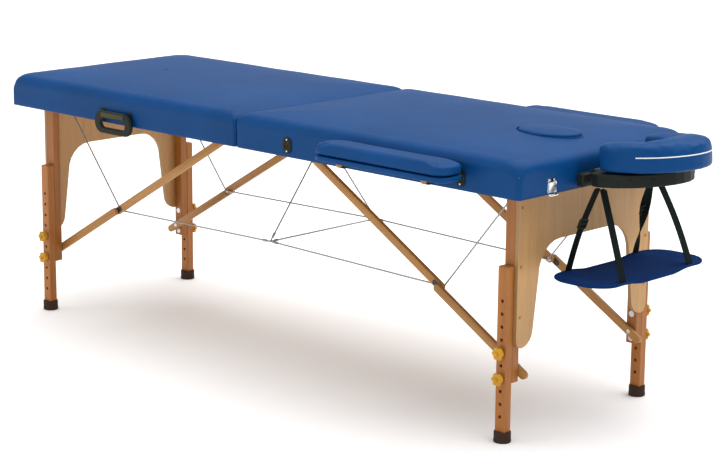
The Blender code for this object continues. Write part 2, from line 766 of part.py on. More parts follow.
def make_cradle():
    body("cradle_arms", (x_at(1, HALF_LENGTH), 0, POLE_Z), "head_half")
    low, high = (x_at(1, ARMS_OUT[0]), -ARMS_HALF, ARMS_Z[0]), (x_at(1, ARMS_OUT[1]), ARMS_HALF, ARMS_Z[1])
    arms = box("cradle_arms", low, high, "black_plastic", 0.003)
    for side_name, side in SIDES:
        start = (x_at(1, POLE_START), side * POLE_Y, POLE_Z)
        end = (x_at(1, sum(ARMS_OUT) / 2), side * POLE_Y, POLE_Z)
        join(arms, rod("cradle_pole_" + side_name, start, end, POLE_RADIUS))
    ride(arms, "cradle_arms")
    body("cradle_head", (x_at(1, TILT_OUT), 0, TILT_Z), "cradle_arms")
    board = crescent(0.0028, CRADLE_PLATE_LENGTH, CRADLE_HALF_WIDTH, 0.050, 0.110)
    place = cradle_place(-CRADLE_PLATE / 2)
    ride(plate("cradle_plate", [board], CRADLE_PLATE, place, "black_plastic", 0.002), "cradle_head")
    pad = crescent(CUSHION_START, CUSHION_START + CUSHION_LENGTH, CRADLE_HALF_WIDTH, 0.045, 0.125)
    place = cradle_place(GAP + CUSHION_THICKNESS / 2)
    cushion = plate("cradle_cushion", [pad], CUSHION_THICKNESS, place, "blue_vinyl", 0.008)
    ride(cushion, "cradle_head")


def strap_in(bm, top, bottom):
    """A flat strap between two points, its width along Y."""
    top, bottom = Vector(top), Vector(bottom)
    run = bottom - top
    along = run.normalized()
    across = Vector((0, 1, 0))
    across = (across - across.dot(along) * along).normalized()
    out = along.cross(across)
    turn = Matrix((across, out, along)).transposed().to_4x4()
    size = Matrix.Diagonal((STRAP_WIDTH, STRAP_THICKNESS, run.length, 1))
    bmesh.ops.create_cube(bm, size=1, matrix=Matrix.Translation((top + bottom) / 2) @ turn @ size)


def make_sling():
    """A fabric shelf for the forearms, hung from the cradle plate by four webbing straps."""
    body("arm_sling", (x_at(1, STRAP_TOP[0]), 0, STRAP_TOP[2]), "cradle_head")
    low = (x_at(1, SLING_OUT[0]), -SLING_HALF_WIDTH)
    high = (x_at(1, SLING_OUT[1]), SLING_HALF_WIDTH)
    place = Matrix.Translation((0, 0, SLING_Z))
    sling = plate("arm_sling", [rounded_box(low, high, 0.060, 5)], SLING_THICKNESS, place, "blue_fabric")
    for side_name, side in SIDES:
        for end_name, way, out in (("inner", -1, SLING_OUT[0]), ("outer", 1, SLING_OUT[1])):
            bm = bmesh.new()
            top = (x_at(1, STRAP_TOP[0] + way * 0.008), side * STRAP_TOP[1], STRAP_TOP[2])
            bottom = (x_at(1, out - way * 0.006), side * STRAP_BOTTOM_Y, SLING_Z)
            strap_in(bm, top, bottom)
            join(sling, from_bmesh(f"sling_strap_{side_name}_{end_name}", bm))
    ride(sling, "arm_sling")


# Armrests, handle and latches

def make_armrest(side_name, side):
    name = side_name + "_armrest"
    body(name, (x_at(1, sum(ARMREST_OUT) / 2), side * HALF_WIDTH, ARMREST_POLE_Z), "head_half")
    low = (x_at(1, ARMREST_OUT[0]), ARMREST_Y[0])
    high = (x_at(1, ARMREST_OUT[1]), ARMREST_Y[1])
    outline = [(u, side * v) for u, v in rounded_box(low, high, 0.035, 4)]
    pad_low = ARMREST_BOARD_Z[1] + GAP
    middle = Matrix.Translation((0, 0, (pad_low + ARMREST_TOP) / 2))
    pad = plate(name + "_pad", [outline], ARMREST_TOP - pad_low, middle, "blue_vinyl", 0.005)
    ride(pad, name)
    middle = Matrix.Translation((0, 0, sum(ARMREST_BOARD_Z) / 2))
    thickness = ARMREST_BOARD_Z[1] - ARMREST_BOARD_Z[0]
    board = plate(name + "_board", [outline], thickness, middle, "black_plastic")
    for i, out in enumerate(ARMREST_POLE_OUT):
        x = x_at(1, out)
        low = (x - 0.012, side * 0.345, ARMREST_POLE_Z - 0.010)
        high = (x + 0.012, side * 0.405, ARMREST_BOARD_Z[1] - 0.004)
        join(board, box(f"{name}_carrier_{i}", low, high))
        start, end = (x, side * 0.2985, ARMREST_POLE_Z), (x, side * 0.395, ARMREST_POLE_Z)
        join(board, rod(f"{name}_pole_{i}", start, end, ARMREST_POLE_RADIUS))
    ride(board, name)


def make_handle():
    """A moulded oval loop that hangs from two lugs on the front rail and swings outwards."""
    x = x_at(-1, HANDLE_OUT)
    body("carry_handle", (x, -HANDLE_Y, HANDLE_PIVOT_Z), "foot_half")
    half, low, high = HANDLE_OUTER
    outer = rounded_box((-half, low), (half, high), 0.028, 5)
    half, low, high = HANDLE_SLOT
    slot = rounded_box((-half, low), (half, high), 0.012, 3)
    place = Matrix.Translation((x, -HANDLE_Y, HANDLE_PIVOT_Z)) @ ALONG_Y
    handle = plate("carry_handle", [outer, slot], HANDLE_THICKNESS, place, "black_plastic", 0.003)
    ride(handle, "carry_handle")


def make_latch(side_name, side):
    """A toggle latch lever on the head end, hooked at its lower edge."""
    name = side_name + "_latch"
    start = HALF_LENGTH + 0.0020
    body(name, (x_at(1, start + 0.001), side * LATCH_Y, LATCH_PIVOT_Z), "head_half")
    profile = [(0, 0.6240), (0, 0.5985), (0.0030, 0.5940), (0.0080, 0.5930),
               (0.0085, 0.5950), (0.0042, 0.5962), (0.0022, 0.5995), (0.0022, 0.6240)]
    outline = [(x_at(1, start + u), v) for u, v in profile]
    place = Matrix.Translation((0, side * LATCH_Y, 0)) @ ALONG_Y
    ride(plate(name, [outline], 0.026, place, "chrome"), name)


def make_all():
    body("foot_half", (x_at(-1, HALF_LENGTH / 2), 0, FRAME_BOTTOM))
    body("centre_stay", (SEAM_X, 0, HINGE_Z), "foot_half")
    body("head_half", (SEAM_X, 0, HINGE_Z), "centre_stay")
    body("face_hole_plug", (x_at(1, FACE_HOLE_OUT), 0, FOAM_Z), "head_half")
    for end_name, end in ENDS:
        make_half(end_name, end)
        body(end_name + "_legs", (x_at(end, AXLE_OUT), 0, AXLE_Z), end_name + "_half")
        make_panel(end_name, end)
        for side_name, side in SIDES:
            prefix = end_name + "_" + side_name
            x = x_at(end, AXLE_OUT)
            make_leg(end_name, end, side_name, side)
            body(prefix + "_leg_extension", (x, side * 0.263, EXTENSION_TOP), end_name + "_legs")
            make_extension(end_name, end, side_name, side)
            make_knob(prefix + "_lower_knob", x, side, LOWER_KNOB_Z, end_name + "_legs")
            make_knob(prefix + "_upper_knob", x, side, LOWER_KNOB_Z + 2 * HOLE_SPACING, end_name + "_legs")
            make_brace(end_name, end, side_name, side)
    make_plug()
    make_hinge()
    make_ropes()
    make_cradle()
    make_sling()
    for side_name, side in SIDES:
        make_armrest(side_name, side)
        make_latch(side_name, side)
    make_handle()


make_all()
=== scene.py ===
"""Portable folding massage table: the visual model round the CAD frame.

Metres, in the frame of the CAD model: X towards the head end, -Y the front side, +Z up, floor at 0.
"out" is the distance from the seam between the two halves towards either end.
"""

import math

import bmesh
import bpy
from mathutils import Matrix, Vector, noise
from mathutils.bvhtree import BVHTree


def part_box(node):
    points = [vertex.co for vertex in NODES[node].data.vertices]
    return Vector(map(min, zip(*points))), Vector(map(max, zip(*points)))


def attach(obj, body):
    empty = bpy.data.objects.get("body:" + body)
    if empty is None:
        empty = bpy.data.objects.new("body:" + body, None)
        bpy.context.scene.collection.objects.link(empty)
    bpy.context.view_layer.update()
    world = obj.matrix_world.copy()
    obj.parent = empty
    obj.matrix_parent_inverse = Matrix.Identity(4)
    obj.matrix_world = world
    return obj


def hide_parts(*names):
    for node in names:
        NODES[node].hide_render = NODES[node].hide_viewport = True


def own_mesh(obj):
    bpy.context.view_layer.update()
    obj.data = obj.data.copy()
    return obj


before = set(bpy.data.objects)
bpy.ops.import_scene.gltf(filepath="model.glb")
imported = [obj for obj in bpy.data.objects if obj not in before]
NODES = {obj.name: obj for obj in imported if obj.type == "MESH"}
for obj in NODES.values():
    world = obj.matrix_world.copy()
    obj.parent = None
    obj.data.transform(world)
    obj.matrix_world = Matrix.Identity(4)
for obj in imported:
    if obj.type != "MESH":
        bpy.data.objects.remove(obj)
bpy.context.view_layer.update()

SEAM_X = (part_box("foot_cover")[1].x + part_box("head_cover")[0].x) / 2
HALF_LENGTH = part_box("head_cover")[1].x - SEAM_X
HALF_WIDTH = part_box("head_cover")[1].y
FRAME_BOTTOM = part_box("head_frame")[0].z
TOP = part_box("head_cover")[1].z
AXLE_OUT, AXLE_Z = 0.85, 0.62
FRAME_PIVOT_OUT, FRAME_PIVOT_Z, LEG_PIVOT_Z = 0.075, 0.631, 0.174
FACE_OUT, FACE_X, FACE_Y = 0.755, 0.085, 0.062
SOCKETS_OUT, SOCKET_Z, SOCKET_RADIUS = (0.189, 0.757), 0.6245, 0.0072
POLES_OUT, ARMREST_POLE_Z, POLE_HOLE_RADIUS = (0.445, 0.715), 0.6225, 0.008
CRADLE_POLE_Y, CRADLE_POLE_Z = 0.085, 0.6125
TILT_OUT, TILT_Z, CRADLE_TILT = 0.958, 0.637, math.radians(5)
HUB_Z, ROPE_Y, ROPE_RADIUS, FERRULE_RADIUS = 0.33, 0.1995, 0.0023, 0.0034
EDGE_IN, EDGE_LOW, EDGE_UP, CROWN = 0.032, 0.657, 0.0265, 0.0115
HINGE_Z = 0.591
SIDE_FACE = HALF_WIDTH + 0.0003
KNOB_HEIGHTS = (("lower", 0.1555), ("upper", 0.2175))
UPPER_LAYER, LOWER_LAYER = (0.204, 0.216), (0.2165, 0.228)
LATCH_Y, LATCH_PIN_Z = 0.207, 0.6225
HANDLE_OUT, HANDLE_Y, HANDLE_Z = 0.4675, -0.333, 0.6215
HEM_Z = 0.5955
CLOTH_FRAMES = 20
CLOTH = {
    "quality": 5, "mass": 0.3, "use_pressure": True, "vertex_group_mass": "held", "bending_stiffness": 0.6,
    "tension_stiffness": 15, "compression_stiffness": 15, "shear_stiffness": 8,
}
ENDS = (("foot", -1), ("head", 1))
SIDES = (("front", -1), ("back", 1))
ALONG_Y = Matrix.Rotation(math.radians(90), 4, "X")
ALONG_X = Matrix(((0, 0, 1, 0), (1, 0, 0, 0), (0, 1, 0, 0), (0, 0, 0, 1)))


def x_at(end, out):
    return SEAM_X + end * out


# Materials

def nodes_of(name, colour, roughness, metallic=0.0, **sockets):
    made = bpy.data.materials.new(name)
    made.use_nodes = True
    tree = made.node_tree
    shader = tree.nodes["Principled BSDF"]
    shader.inputs["Base Color"].default_value = (*colour, 1)
    shader.inputs["Roughness"].default_value = roughness
    shader.inputs["Metallic"].default_value = metallic
    for key, value in sockets.items():
        shader.inputs[key.replace("_", " ")].default_value = value
    made.diffuse_color = (*colour, 1)
    return made, tree, shader


def add(tree, kind, links=(), **settings):
    """A new node with its settings, and links given as (input, output socket or value)."""
    node = tree.nodes.new(kind)
    for key, value in settings.items():
        setattr(node, key, value)
    for key, source in links:
        if isinstance(source, bpy.types.NodeSocket):
            tree.links.new(source, node.inputs[key])
        else:
            node.inputs[key].default_value = source
    return node


def ramp(tree, factor, stops):
    node = add(tree, "ShaderNodeValToRGB", [("Fac", factor)])
    elements = node.color_ramp.elements
    while len(elements) < len(stops):
        elements.new(0.5)
    for element, (place, colour) in zip(elements, stops):
        element.position = place
        element.color = (*colour, 1)
    return node.outputs["Color"]


def math_node(tree, operation, a, b=0.0):
    return add(tree, "ShaderNodeMath", [(0, a), (1, b)], operation=operation).outputs[0]


def bump(tree, shader, height, strength, distance):
    node = add(tree, "ShaderNodeBump", [("Height", height), ("Strength", strength), ("Distance", distance)])
    tree.links.new(node.outputs["Normal"], shader.inputs["Normal"])


def coords(tree):
    return tree.nodes.new("ShaderNodeTexCoord").outputs["Object"]


def noise_node(tree, vector, scale, detail=4.0, rough=0.55):
    links = [("Vector", vector), ("Scale", scale), ("Detail", detail), ("Roughness", rough)]
    return add(tree, "ShaderNodeTexNoise", links).outputs["Fac"]


def mixed(tree, factor, a, b, blend="MIX"):
    links = [(0, factor), (6, a), (7, b)]
    node = add(tree, "ShaderNodeMix", links, data_type="RGBA", blend_type=blend)
    return node.outputs[2]


def dim(colour, factor):
    return tuple(channel * factor for channel in colour)


def vector_node(tree, operation, a, b, socket=1):
    links = [(0, a), (socket, b)]
    return add(tree, "ShaderNodeVectorMath", links, operation=operation).outputs


def dot(tree, place, axis):
    return vector_node(tree, "DOT_PRODUCT", place, axis)["Value"]


def paint(tree, shader, tint):
    tree.links.new(tint, shader.inputs["Base Color"])


def vary_roughness(tree, shader, value, low, high):
    shine = add(tree, "ShaderNodeMapRange", [("Value", value), ("To Min", low), ("To Max", high)])
    tree.links.new(shine.outputs[0], shader.inputs["Roughness"])


def vinyl(name, colour, roughness=0.4, grain=0.2):
    made, tree, shader = nodes_of(name, colour, roughness, Specular_IOR_Level=0.1)
    place = coords(tree)
    broad = noise_node(tree, place, 5.0, 3.0)
    tint = ramp(tree, broad, [(0.3, dim(colour, 0.88)), (0.72, dim(colour, 1.12))])
    paint(tree, shader, tint)
    links = [("Vector", place), ("Scale", 620.0)]
    cells = add(tree, "ShaderNodeTexVoronoi", links, feature="DISTANCE_TO_EDGE")
    fine = noise_node(tree, place, 260.0, 4.0, 0.6)
    height = math_node(tree, "ADD", cells.outputs["Distance"], math_node(tree, "MULTIPLY", fine, 0.6))
    bump(tree, shader, height, grain, 0.0006)
    vary_roughness(tree, shader, fine, roughness - 0.06, roughness + 0.1)
    return made


def grain_place(tree, place, axis, across, along):
    """Coordinates squeezed along the grain, so that round noise becomes long figure."""
    run = dot(tree, place, axis)
    spread = vector_node(tree, "SCALE", place, across, 3)[0]
    back = math_node(tree, "MULTIPLY", run, along - across)
    line = vector_node(tree, "SCALE", axis, back, 3)[0]
    return vector_node(tree, "ADD", spread, line)[0]


def wood_figure(tree, place, axis, colour, contrast):
    """Colour and height of wood with its grain along one axis."""
    figure = noise_node(tree, grain_place(tree, place, axis, 70.0, 3.0), 1.0, 5.0, 0.6)
    pores = noise_node(tree, grain_place(tree, place, axis, 900.0, 30.0), 1.0, 2.0, 0.5)
    dark, light = dim(colour, 1 - contrast), dim(colour, 1 + 0.5 * contrast)
    base = ramp(tree, figure, [(0.25, dark), (0.48, dim(colour, 0.98)), (0.75, light)])
    flecks = ramp(tree, pores, [(0.3, (0.62, 0.56, 0.5)), (0.42, (1.0, 1.0, 1.0))])
    return mixed(tree, 0.55, base, flecks, "MULTIPLY"), pores


def wood(name, colour, axis, contrast=0.28, roughness=0.42, seed=0.0):
    made, tree, shader = nodes_of(
        name, colour, roughness, Specular_IOR_Level=0.3, Coat_Weight=0.05, Coat_Roughness=0.3)
    shift = (seed * 0.37, seed * 0.21, seed * 0.13)
    place = vector_node(tree, "ADD", coords(tree), shift)[0]
    tint, pores = wood_figure(tree, place, axis, colour, contrast)
    paint(tree, shader, tint)
    bump(tree, shader, pores, 0.12, 0.0003)
    return made


def frame_wood(name, colour, end):
    """Rails along X, with the cross rails and the bar for the braces along Y."""
    made, tree, shader = nodes_of(name, colour, 0.5)
    place = coords(tree)
    along, pores = wood_figure(tree, place, (1, 0, 0), colour, 0.25)
    across, _ = wood_figure(tree, place, (0, 1, 0), dim(colour, 0.94), 0.25)
    x = add(tree, "ShaderNodeSeparateXYZ", [(0, place)]).outputs[0]
    out = math_node(tree, "MULTIPLY", math_node(tree, "SUBTRACT", x, SEAM_X), end)
    far = math_node(tree, "GREATER_THAN", out, 0.9093)
    near = math_node(tree, "LESS_THAN", out, 0.021)
    bar = math_node(tree, "COMPARE", out, FRAME_PIVOT_OUT)
    bar.node.inputs[2].default_value = 0.0172
    mask = math_node(tree, "MAXIMUM", math_node(tree, "MAXIMUM", far, near), bar)
    paint(tree, shader, mixed(tree, mask, along, across))
    bump(tree, shader, pores, 0.12, 0.0003)
    return made


def plywood(name, colour, grain, layers, pitch=0.0015):
    """Veneer on the faces and thin dark and light plies on the edges."""
    made, tree, shader = nodes_of(name, colour, 0.45)
    source = tree.nodes.new("ShaderNodeTexCoord")
    place = source.outputs["Object"]
    face, pores = wood_figure(tree, place, grain, colour, 0.16)
    depth = dot(tree, place, layers)
    turn = math_node(tree, "SINE", math_node(tree, "MULTIPLY", depth, math.pi / pitch))
    plies = ramp(tree, turn, [(0.0, dim(colour, 0.5)), (0.5, dim(colour, 0.95))])
    facing = dot(tree, source.outputs["Normal"], layers)
    on_face = math_node(tree, "GREATER_THAN", math_node(tree, "ABSOLUTE", facing), 0.6)
    paint(tree, shader, mixed(tree, on_face, plies, face))
    bump(tree, shader, pores, 0.1, 0.0003)
    return made


def metal(name, colour, roughness, scratch=0.05):
    made, tree, shader = nodes_of(name, colour, roughness, 1.0)
    spots = noise_node(tree, coords(tree), 180.0, 5.0, 0.6)
    vary_roughness(tree, shader, spots, roughness * 0.7, roughness * 1.4)
    bump(tree, shader, spots, scratch, 0.0002)
    return made


def plastic(name, colour, roughness, grain=0.1, scale=900.0):
    made, tree, shader = nodes_of(name, colour, roughness, Specular_IOR_Level=0.16)
    fine = noise_node(tree, coords(tree), scale, 3.0)
    broad = noise_node(tree, coords(tree), 14.0, 2.0)
    tint = ramp(tree, broad, [(0.3, dim(colour, 0.88)), (0.7, dim(colour, 1.1))])
    paint(tree, shader, tint)
    bump(tree, shader, fine, grain, 0.0004)
    return made


def weave(name, colour, axis_a, axis_b, pitch, roughness=0.85):
    """Woven cloth: two crossed sets of threads."""
    made, tree, shader = nodes_of(name, colour, roughness, Specular_IOR_Level=0.08)
    place = coords(tree)
    waves = []
    for axis in (axis_a, axis_b):
        turn = math_node(tree, "MULTIPLY", dot(tree, place, axis), 2 * math.pi / pitch)
        waves.append(math_node(tree, "SINE", turn))
    cross = math_node(tree, "MULTIPLY", waves[0], waves[1])
    level = math_node(tree, "MULTIPLY_ADD", cross, 0.5)
    tint = ramp(tree, level, [(0.1, dim(colour, 0.65)), (0.6, dim(colour, 1.15))])
    paint(tree, shader, tint)
    bump(tree, shader, cross, 0.35, 0.0005)
    return made


BLUE = (0.0015, 0.048, 0.172)
BEECH = (0.42, 0.2, 0.052)
RED_BEECH = (0.33, 0.118, 0.021)
BIRCH = (0.49, 0.268, 0.096)
SLOPE = math.atan2(FRAME_PIVOT_Z - LEG_PIVOT_Z, AXLE_OUT - FRAME_PIVOT_OUT)

MATS = {
    "vinyl": vinyl("blue_vinyl_grain", BLUE),
    "vinyl_piping": vinyl("white_piping", (0.72, 0.74, 0.76), 0.35, 0.05),
    "leg_wood": wood("leg_beech", RED_BEECH, (0, 0, 1), seed=1.0),
    "extension_wood": wood("extension_beech", dim(RED_BEECH, 1.12), (0, 0, 1), seed=2.0),
    "dowel_wood": wood("dowel_beech", BEECH, (0, 1, 0), seed=3.0),
    "panel": plywood("panel_plywood", BIRCH, (0, 0, 1), (1, 0, 0)),
    "deck": plywood("deck_plywood", dim(BIRCH, 0.8), (0, 1, 0), (0, 0, 1), 0.001),
    "steel": metal("zinc_steel", (0.56, 0.57, 0.58), 0.34),
    "rope": metal("rope_steel", (0.34, 0.345, 0.35), 0.45),
    "dark_steel": metal("blackened_steel", (0.06, 0.06, 0.065), 0.45),
    "chrome": metal("bright_chrome", (0.82, 0.83, 0.85), 0.12, 0.02),
    "rubber": plastic("foot_rubber", (0.04, 0.022, 0.014), 0.7, 0.25, 500.0),
    "knob": plastic("knob_yellow", (0.56, 0.29, 0.022), 0.42, 0.06),
    "black": plastic("black_moulding", (0.009, 0.013, 0.01), 0.5),
    "grip": plastic("olive_grip", (0.06, 0.058, 0.03), 0.7, 0.4, 350.0),
    "webbing": weave("black_webbing", (0.006, 0.01, 0.009), (0, 1, 0), (0.35, 0, 0.94), 0.0022),
    "nylon": weave("navy_nylon", (0.001, 0.022, 0.105), (1, 0, 0), (0, 1, 0), 0.0016),
}
for _name, _end in ENDS:
    MATS[_name + "_frame"] = frame_wood(_name + "_rail_beech", BEECH, _end)
    for _kind, _tint in (("upper", 1.0), ("lower", 0.92)):
        _axis = (_end * math.cos(SLOPE), 0, -math.sin(SLOPE))
        _brace = f"{_name}_{_kind}_brace"
        MATS[_brace] = wood(_brace + "_beech", dim(BEECH, _tint), _axis, seed=4.0 + _tint)


def dress(node, key):
    NODES[node].data.materials.clear()
    NODES[node].data.materials.append(MATS[key])


# Building pieces

def link(name, data):
    obj = bpy.data.objects.new(name, data)
    bpy.context.scene.collection.objects.link(obj)
    return obj


def linked(name, mesh, key):
    obj = link(name, mesh)
    if key:
        mesh.materials.clear()
        mesh.materials.append(MATS[key])
    return obj


def smooth(obj, angle=40):
    obj.data.shade_smooth()
    obj.data.set_sharp_from_angle(angle=math.radians(angle))
    return obj


def put(obj, body, replaced=(), angle=40):
    """Finishes a piece: smooth shading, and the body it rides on."""
    smooth(obj, angle)
    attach(obj, body)
    if replaced:
        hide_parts(*replaced)
    return obj


def put_solid(name, bm, key, body):
    """A finished piece from a bmesh, in its material, on the body it rides on."""
    return put(from_bmesh(name, bm, key), body)


def from_bmesh(name, bm, key):
    bmesh.ops.recalc_face_normals(bm, faces=bm.faces)
    mesh = bpy.data.meshes.new(name)
    bm.to_mesh(mesh)
    bm.free()
    return linked(name, mesh, key)


def bridge(bm, rows, capped=False):
    """Faces between each ring of points and the next, and over both ends if they are capped."""
    for low, high in zip(rows, rows[1:]):
        for i in range(len(low)):
            j = (i + 1) % len(low)
            bm.faces.new((low[i], low[j], high[j], high[i]))
    if capped:
        bm.faces.new(rows[0][::-1])
        bm.faces.new(rows[-1])


def box_in(bm, low, high, rounding=0.0):
    pairs = [(min(a, b), max(a, b)) for a, b in zip(low, high)]
    size = [b - a for a, b in pairs]
    centre = Vector([(a + b) / 2 for a, b in pairs])
    place = Matrix.Translation(centre) @ Matrix.Diagonal((*size, 1))
    made = bmesh.ops.create_cube(bm, size=1, matrix=place)
    if rounding:
        edges = list({edge for v in made["verts"] for edge in v.link_edges})
        bmesh.ops.bevel(bm, geom=edges, offset=rounding, segments=2, affect="EDGES", profile=0.5)


def rod_in(bm, start, end, radius, sides=20, bevel=0.0):
    start, end = Vector(start), Vector(end)
    turn = (end - start).to_track_quat("Z", "Y").to_matrix().to_4x4()
    made = bmesh.ops.create_cone(
        bm, cap_ends=True, segments=sides, radius1=radius, radius2=radius,
        depth=(end - start).length, matrix=Matrix.Translation((start + end) / 2) @ turn)
    if bevel:
        edges = {edge for v in made["verts"] for edge in v.link_edges}
        caps = [edge for edge in edges if any(len(face.verts) == sides for face in edge.link_faces)]
        bmesh.ops.bevel(bm, geom=caps, offset=bevel, segments=2, affect="EDGES", profile=0.5)


def screw_in(bm, at, axis, radius, height):
    """A low, domed screw head."""
    at, axis = Vector(at), Vector(axis).normalized()
    rod_in(bm, at, at + axis * height, radius, 16, height * 0.6)


def square_to(along, towards):
    """The direction nearest to `towards` that is at right angles to `along`."""
    return (towards - towards.dot(along) * along).normalized()


def curve_mesh(name, splines, place, key, cyclic=True, **settings):
    curve = bpy.data.curves.new(name + "_line", "CURVE")
    for setting, value in settings.items():
        setattr(curve, setting, value)
    for outline in splines:
        spline = curve.splines.new("POLY")
        spline.points.add(len(outline) - 1)
        for point, where in zip(spline.points, outline):
            point.co = (*where, 0, 1) if len(where) == 2 else (*where, 1)
        spline.use_cyclic_u = cyclic
    holder = link(name + "_line", curve)
    bpy.context.view_layer.update()
    graph = bpy.context.evaluated_depsgraph_get()
    mesh = bpy.data.meshes.new_from_object(holder.evaluated_get(graph))
    mesh.name = name
    bpy.data.objects.remove(holder, do_unlink=True)
    bm = bmesh.new()
    bm.from_mesh(mesh)
    bmesh.ops.remove_doubles(bm, verts=bm.verts, dist=0.00001)
    bmesh.ops.recalc_face_normals(bm, faces=bm.faces)
    bm.to_mesh(mesh)
    bm.free()
    mesh.transform(place)
    return linked(name, mesh, key)


def plate(name, outlines, thickness, place, key, edge=0.0):
    return curve_mesh(
        name, outlines, place, key, dimensions="2D", fill_mode="BOTH",
        extrude=thickness / 2 - edge, bevel_depth=edge, bevel_resolution=1, offset=-edge)


def tube(name, points, radius, key, cyclic=False):
    return curve_mesh(
        name, [points], Matrix.Identity(4), key, cyclic, dimensions="3D",
        bevel_depth=radius, bevel_resolution=3, use_fill_caps=not cyclic)


def arc(centre, radius, start, end, steps):
    angles = [math.radians(start + (end - start) * i / steps) for i in range(steps + 1)]
    return [(centre[0] + radius * math.cos(a), centre[1] + radius * math.sin(a)) for a in angles]


def rounded_box(low, high, radius, steps=6):
    corners = (((high[0] - radius, high[1] - radius), 0), ((low[0] + radius, high[1] - radius), 90),
               ((low[0] + radius, low[1] + radius), 180), ((high[0] - radius, low[1] + radius), 270))
    return [p for centre, start in corners for p in arc(centre, radius, start, start + 90, steps)]


def shown_mesh(obj):
    bpy.context.view_layer.update()
    graph = bpy.context.evaluated_depsgraph_get()
    return bpy.data.meshes.new_from_object(obj.evaluated_get(graph))


def settle(obj):
    """Applies every modifier."""
    mesh = shown_mesh(obj)
    obj.modifiers.clear()
    obj.data = mesh
    return obj


def cut(obj, helper):
    step = obj.modifiers.new("cut", "BOOLEAN")
    step.operation = "DIFFERENCE"
    step.solver = "EXACT"
    step.object = helper
    settle(obj)
    bpy.data.objects.remove(helper, do_unlink=True)
    return obj


def puff(obj, voxel, cap, pinned, pressure=4.0, gravity=0.0, shrink=0.0, levels=1):
    """Swells a closed mesh by cloth simulation.

    `cap` limits each point's move, and `pinned` says what stays.
    """
    if shrink:
        step = obj.modifiers.new("shrink", "DISPLACE")
        step.strength = -shrink
        step.mid_level = 0.0
        settle(obj)
    step = obj.modifiers.new("remesh", "REMESH")
    step.mode = "VOXEL"
    step.voxel_size = voxel
    settle(obj)
    rest = [v.co.copy() for v in obj.data.vertices]
    group = obj.vertex_groups.new(name="held")
    group.add([i for i, co in enumerate(rest) if pinned(co)], 1.0, "REPLACE")
    cloth = obj.modifiers.new("cloth", "CLOTH")
    for key, value in {**CLOTH, "uniform_pressure_force": pressure}.items():
        setattr(cloth.settings, key, value)
    cloth.settings.effector_weights.gravity = gravity
    cloth.point_cache.frame_start = 1
    cloth.point_cache.frame_end = CLOTH_FRAMES
    for number in range(1, CLOTH_FRAMES + 1):
        bpy.context.scene.frame_set(number)
    moved = shown_mesh(obj)
    obj.modifiers.clear()
    for vertex, start, end in zip(obj.data.vertices, rest, moved.vertices):
        step = end.co - start
        if step.length > cap:
            step *= cap / step.length
        vertex.co = start + step
    bpy.data.meshes.remove(moved)
    bpy.context.scene.frame_set(1)
    even = obj.modifiers.new("even", "SMOOTH")
    even.iterations = 6
    even.factor = 0.5
    if levels:
        finer = obj.modifiers.new("finer", "SUBSURF")
        finer.levels = levels
        finer.render_levels = levels
    return settle(obj)


def node_copy(node, name, key):
    return linked(name, NODES[node].data.copy(), key)


def girth(obj, points, hub, lift=0.0):
    """Points on the surface of a piece, found by looking from outside towards its hub."""
    tree = BVHTree.FromPolygons([v.co for v in obj.data.vertices], [p.vertices for p in obj.data.polygons])
    found = []
    for point in points:
        point = Vector(point)
        inward = (hub - point).normalized()
        start = point - inward * 0.05
        hit, normal, _, _ = tree.ray_cast(start, inward)
        if hit:
            found.append(hit + normal * lift)
    return found


# Padded top of each half

def ring(out_low, out_high, half, seam_radius, end_radius):
    """A rounded rectangle, with the same points on every ring."""
    arc_steps, long_steps, short_steps = 8, 30, 22
    corners = (
        (out_high - end_radius, half - end_radius, end_radius, 0, long_steps),
        (out_low + seam_radius, half - seam_radius, seam_radius, 90, short_steps),
        (out_low + seam_radius, -half + seam_radius, seam_radius, 180, long_steps),
        (out_high - end_radius, -half + end_radius, end_radius, 270, short_steps),
    )
    points = []
    for i, (u, v, radius, start, steps) in enumerate(corners):
        turn = arc((u, v), radius, start, start + 90, arc_steps)
        after = corners[(i + 1) % 4]
        first = arc((after[0], after[1]), after[2], after[3], after[3], 1)[0]
        points += turn
        last = turn[-1]
        for k in range(1, steps):
            t = k / steps
            points.append((last[0] + (first[0] - last[0]) * t, last[1] + (first[1] - last[1]) * t))
    return points


def top_profile():
    """(inset, height, seam corner radius, end corner radius) from the hem up over the edge."""
    rows = [(0.0125, 0.5947, 0.004, 0.004), (0.001, 0.5948, 0.01, 0.012), (0.0, 0.596, 0.0115, 0.0135)]
    rows += [(-0.0003, z, 0.012, 0.014) for z in (0.602, 0.614, 0.628)]
    rows += [(-0.0006, 0.641, 0.012, 0.016), (-0.0014, 0.648, 0.013, 0.022)]
    rows.append((-0.0018, 0.6535, 0.013, 0.03))
    for i in range(1, 11):
        angle = math.radians(90 * i / 10)
        inset = EDGE_IN - (EDGE_IN + 0.0018) * math.cos(angle)
        rows.append((inset, EDGE_LOW + EDGE_UP * math.sin(angle), 0.014, 0.036))
    for inset in (0.038, 0.046, 0.056, 0.07, 0.088, 0.11, 0.136, 0.166, 0.202, 0.24, 0.276, 0.3):
        rise = CROWN * (1 - math.exp(-(inset - EDGE_IN) / 0.085))
        rows.append((inset, EDGE_LOW + EDGE_UP + rise, 0.012, 0.03))
    return rows


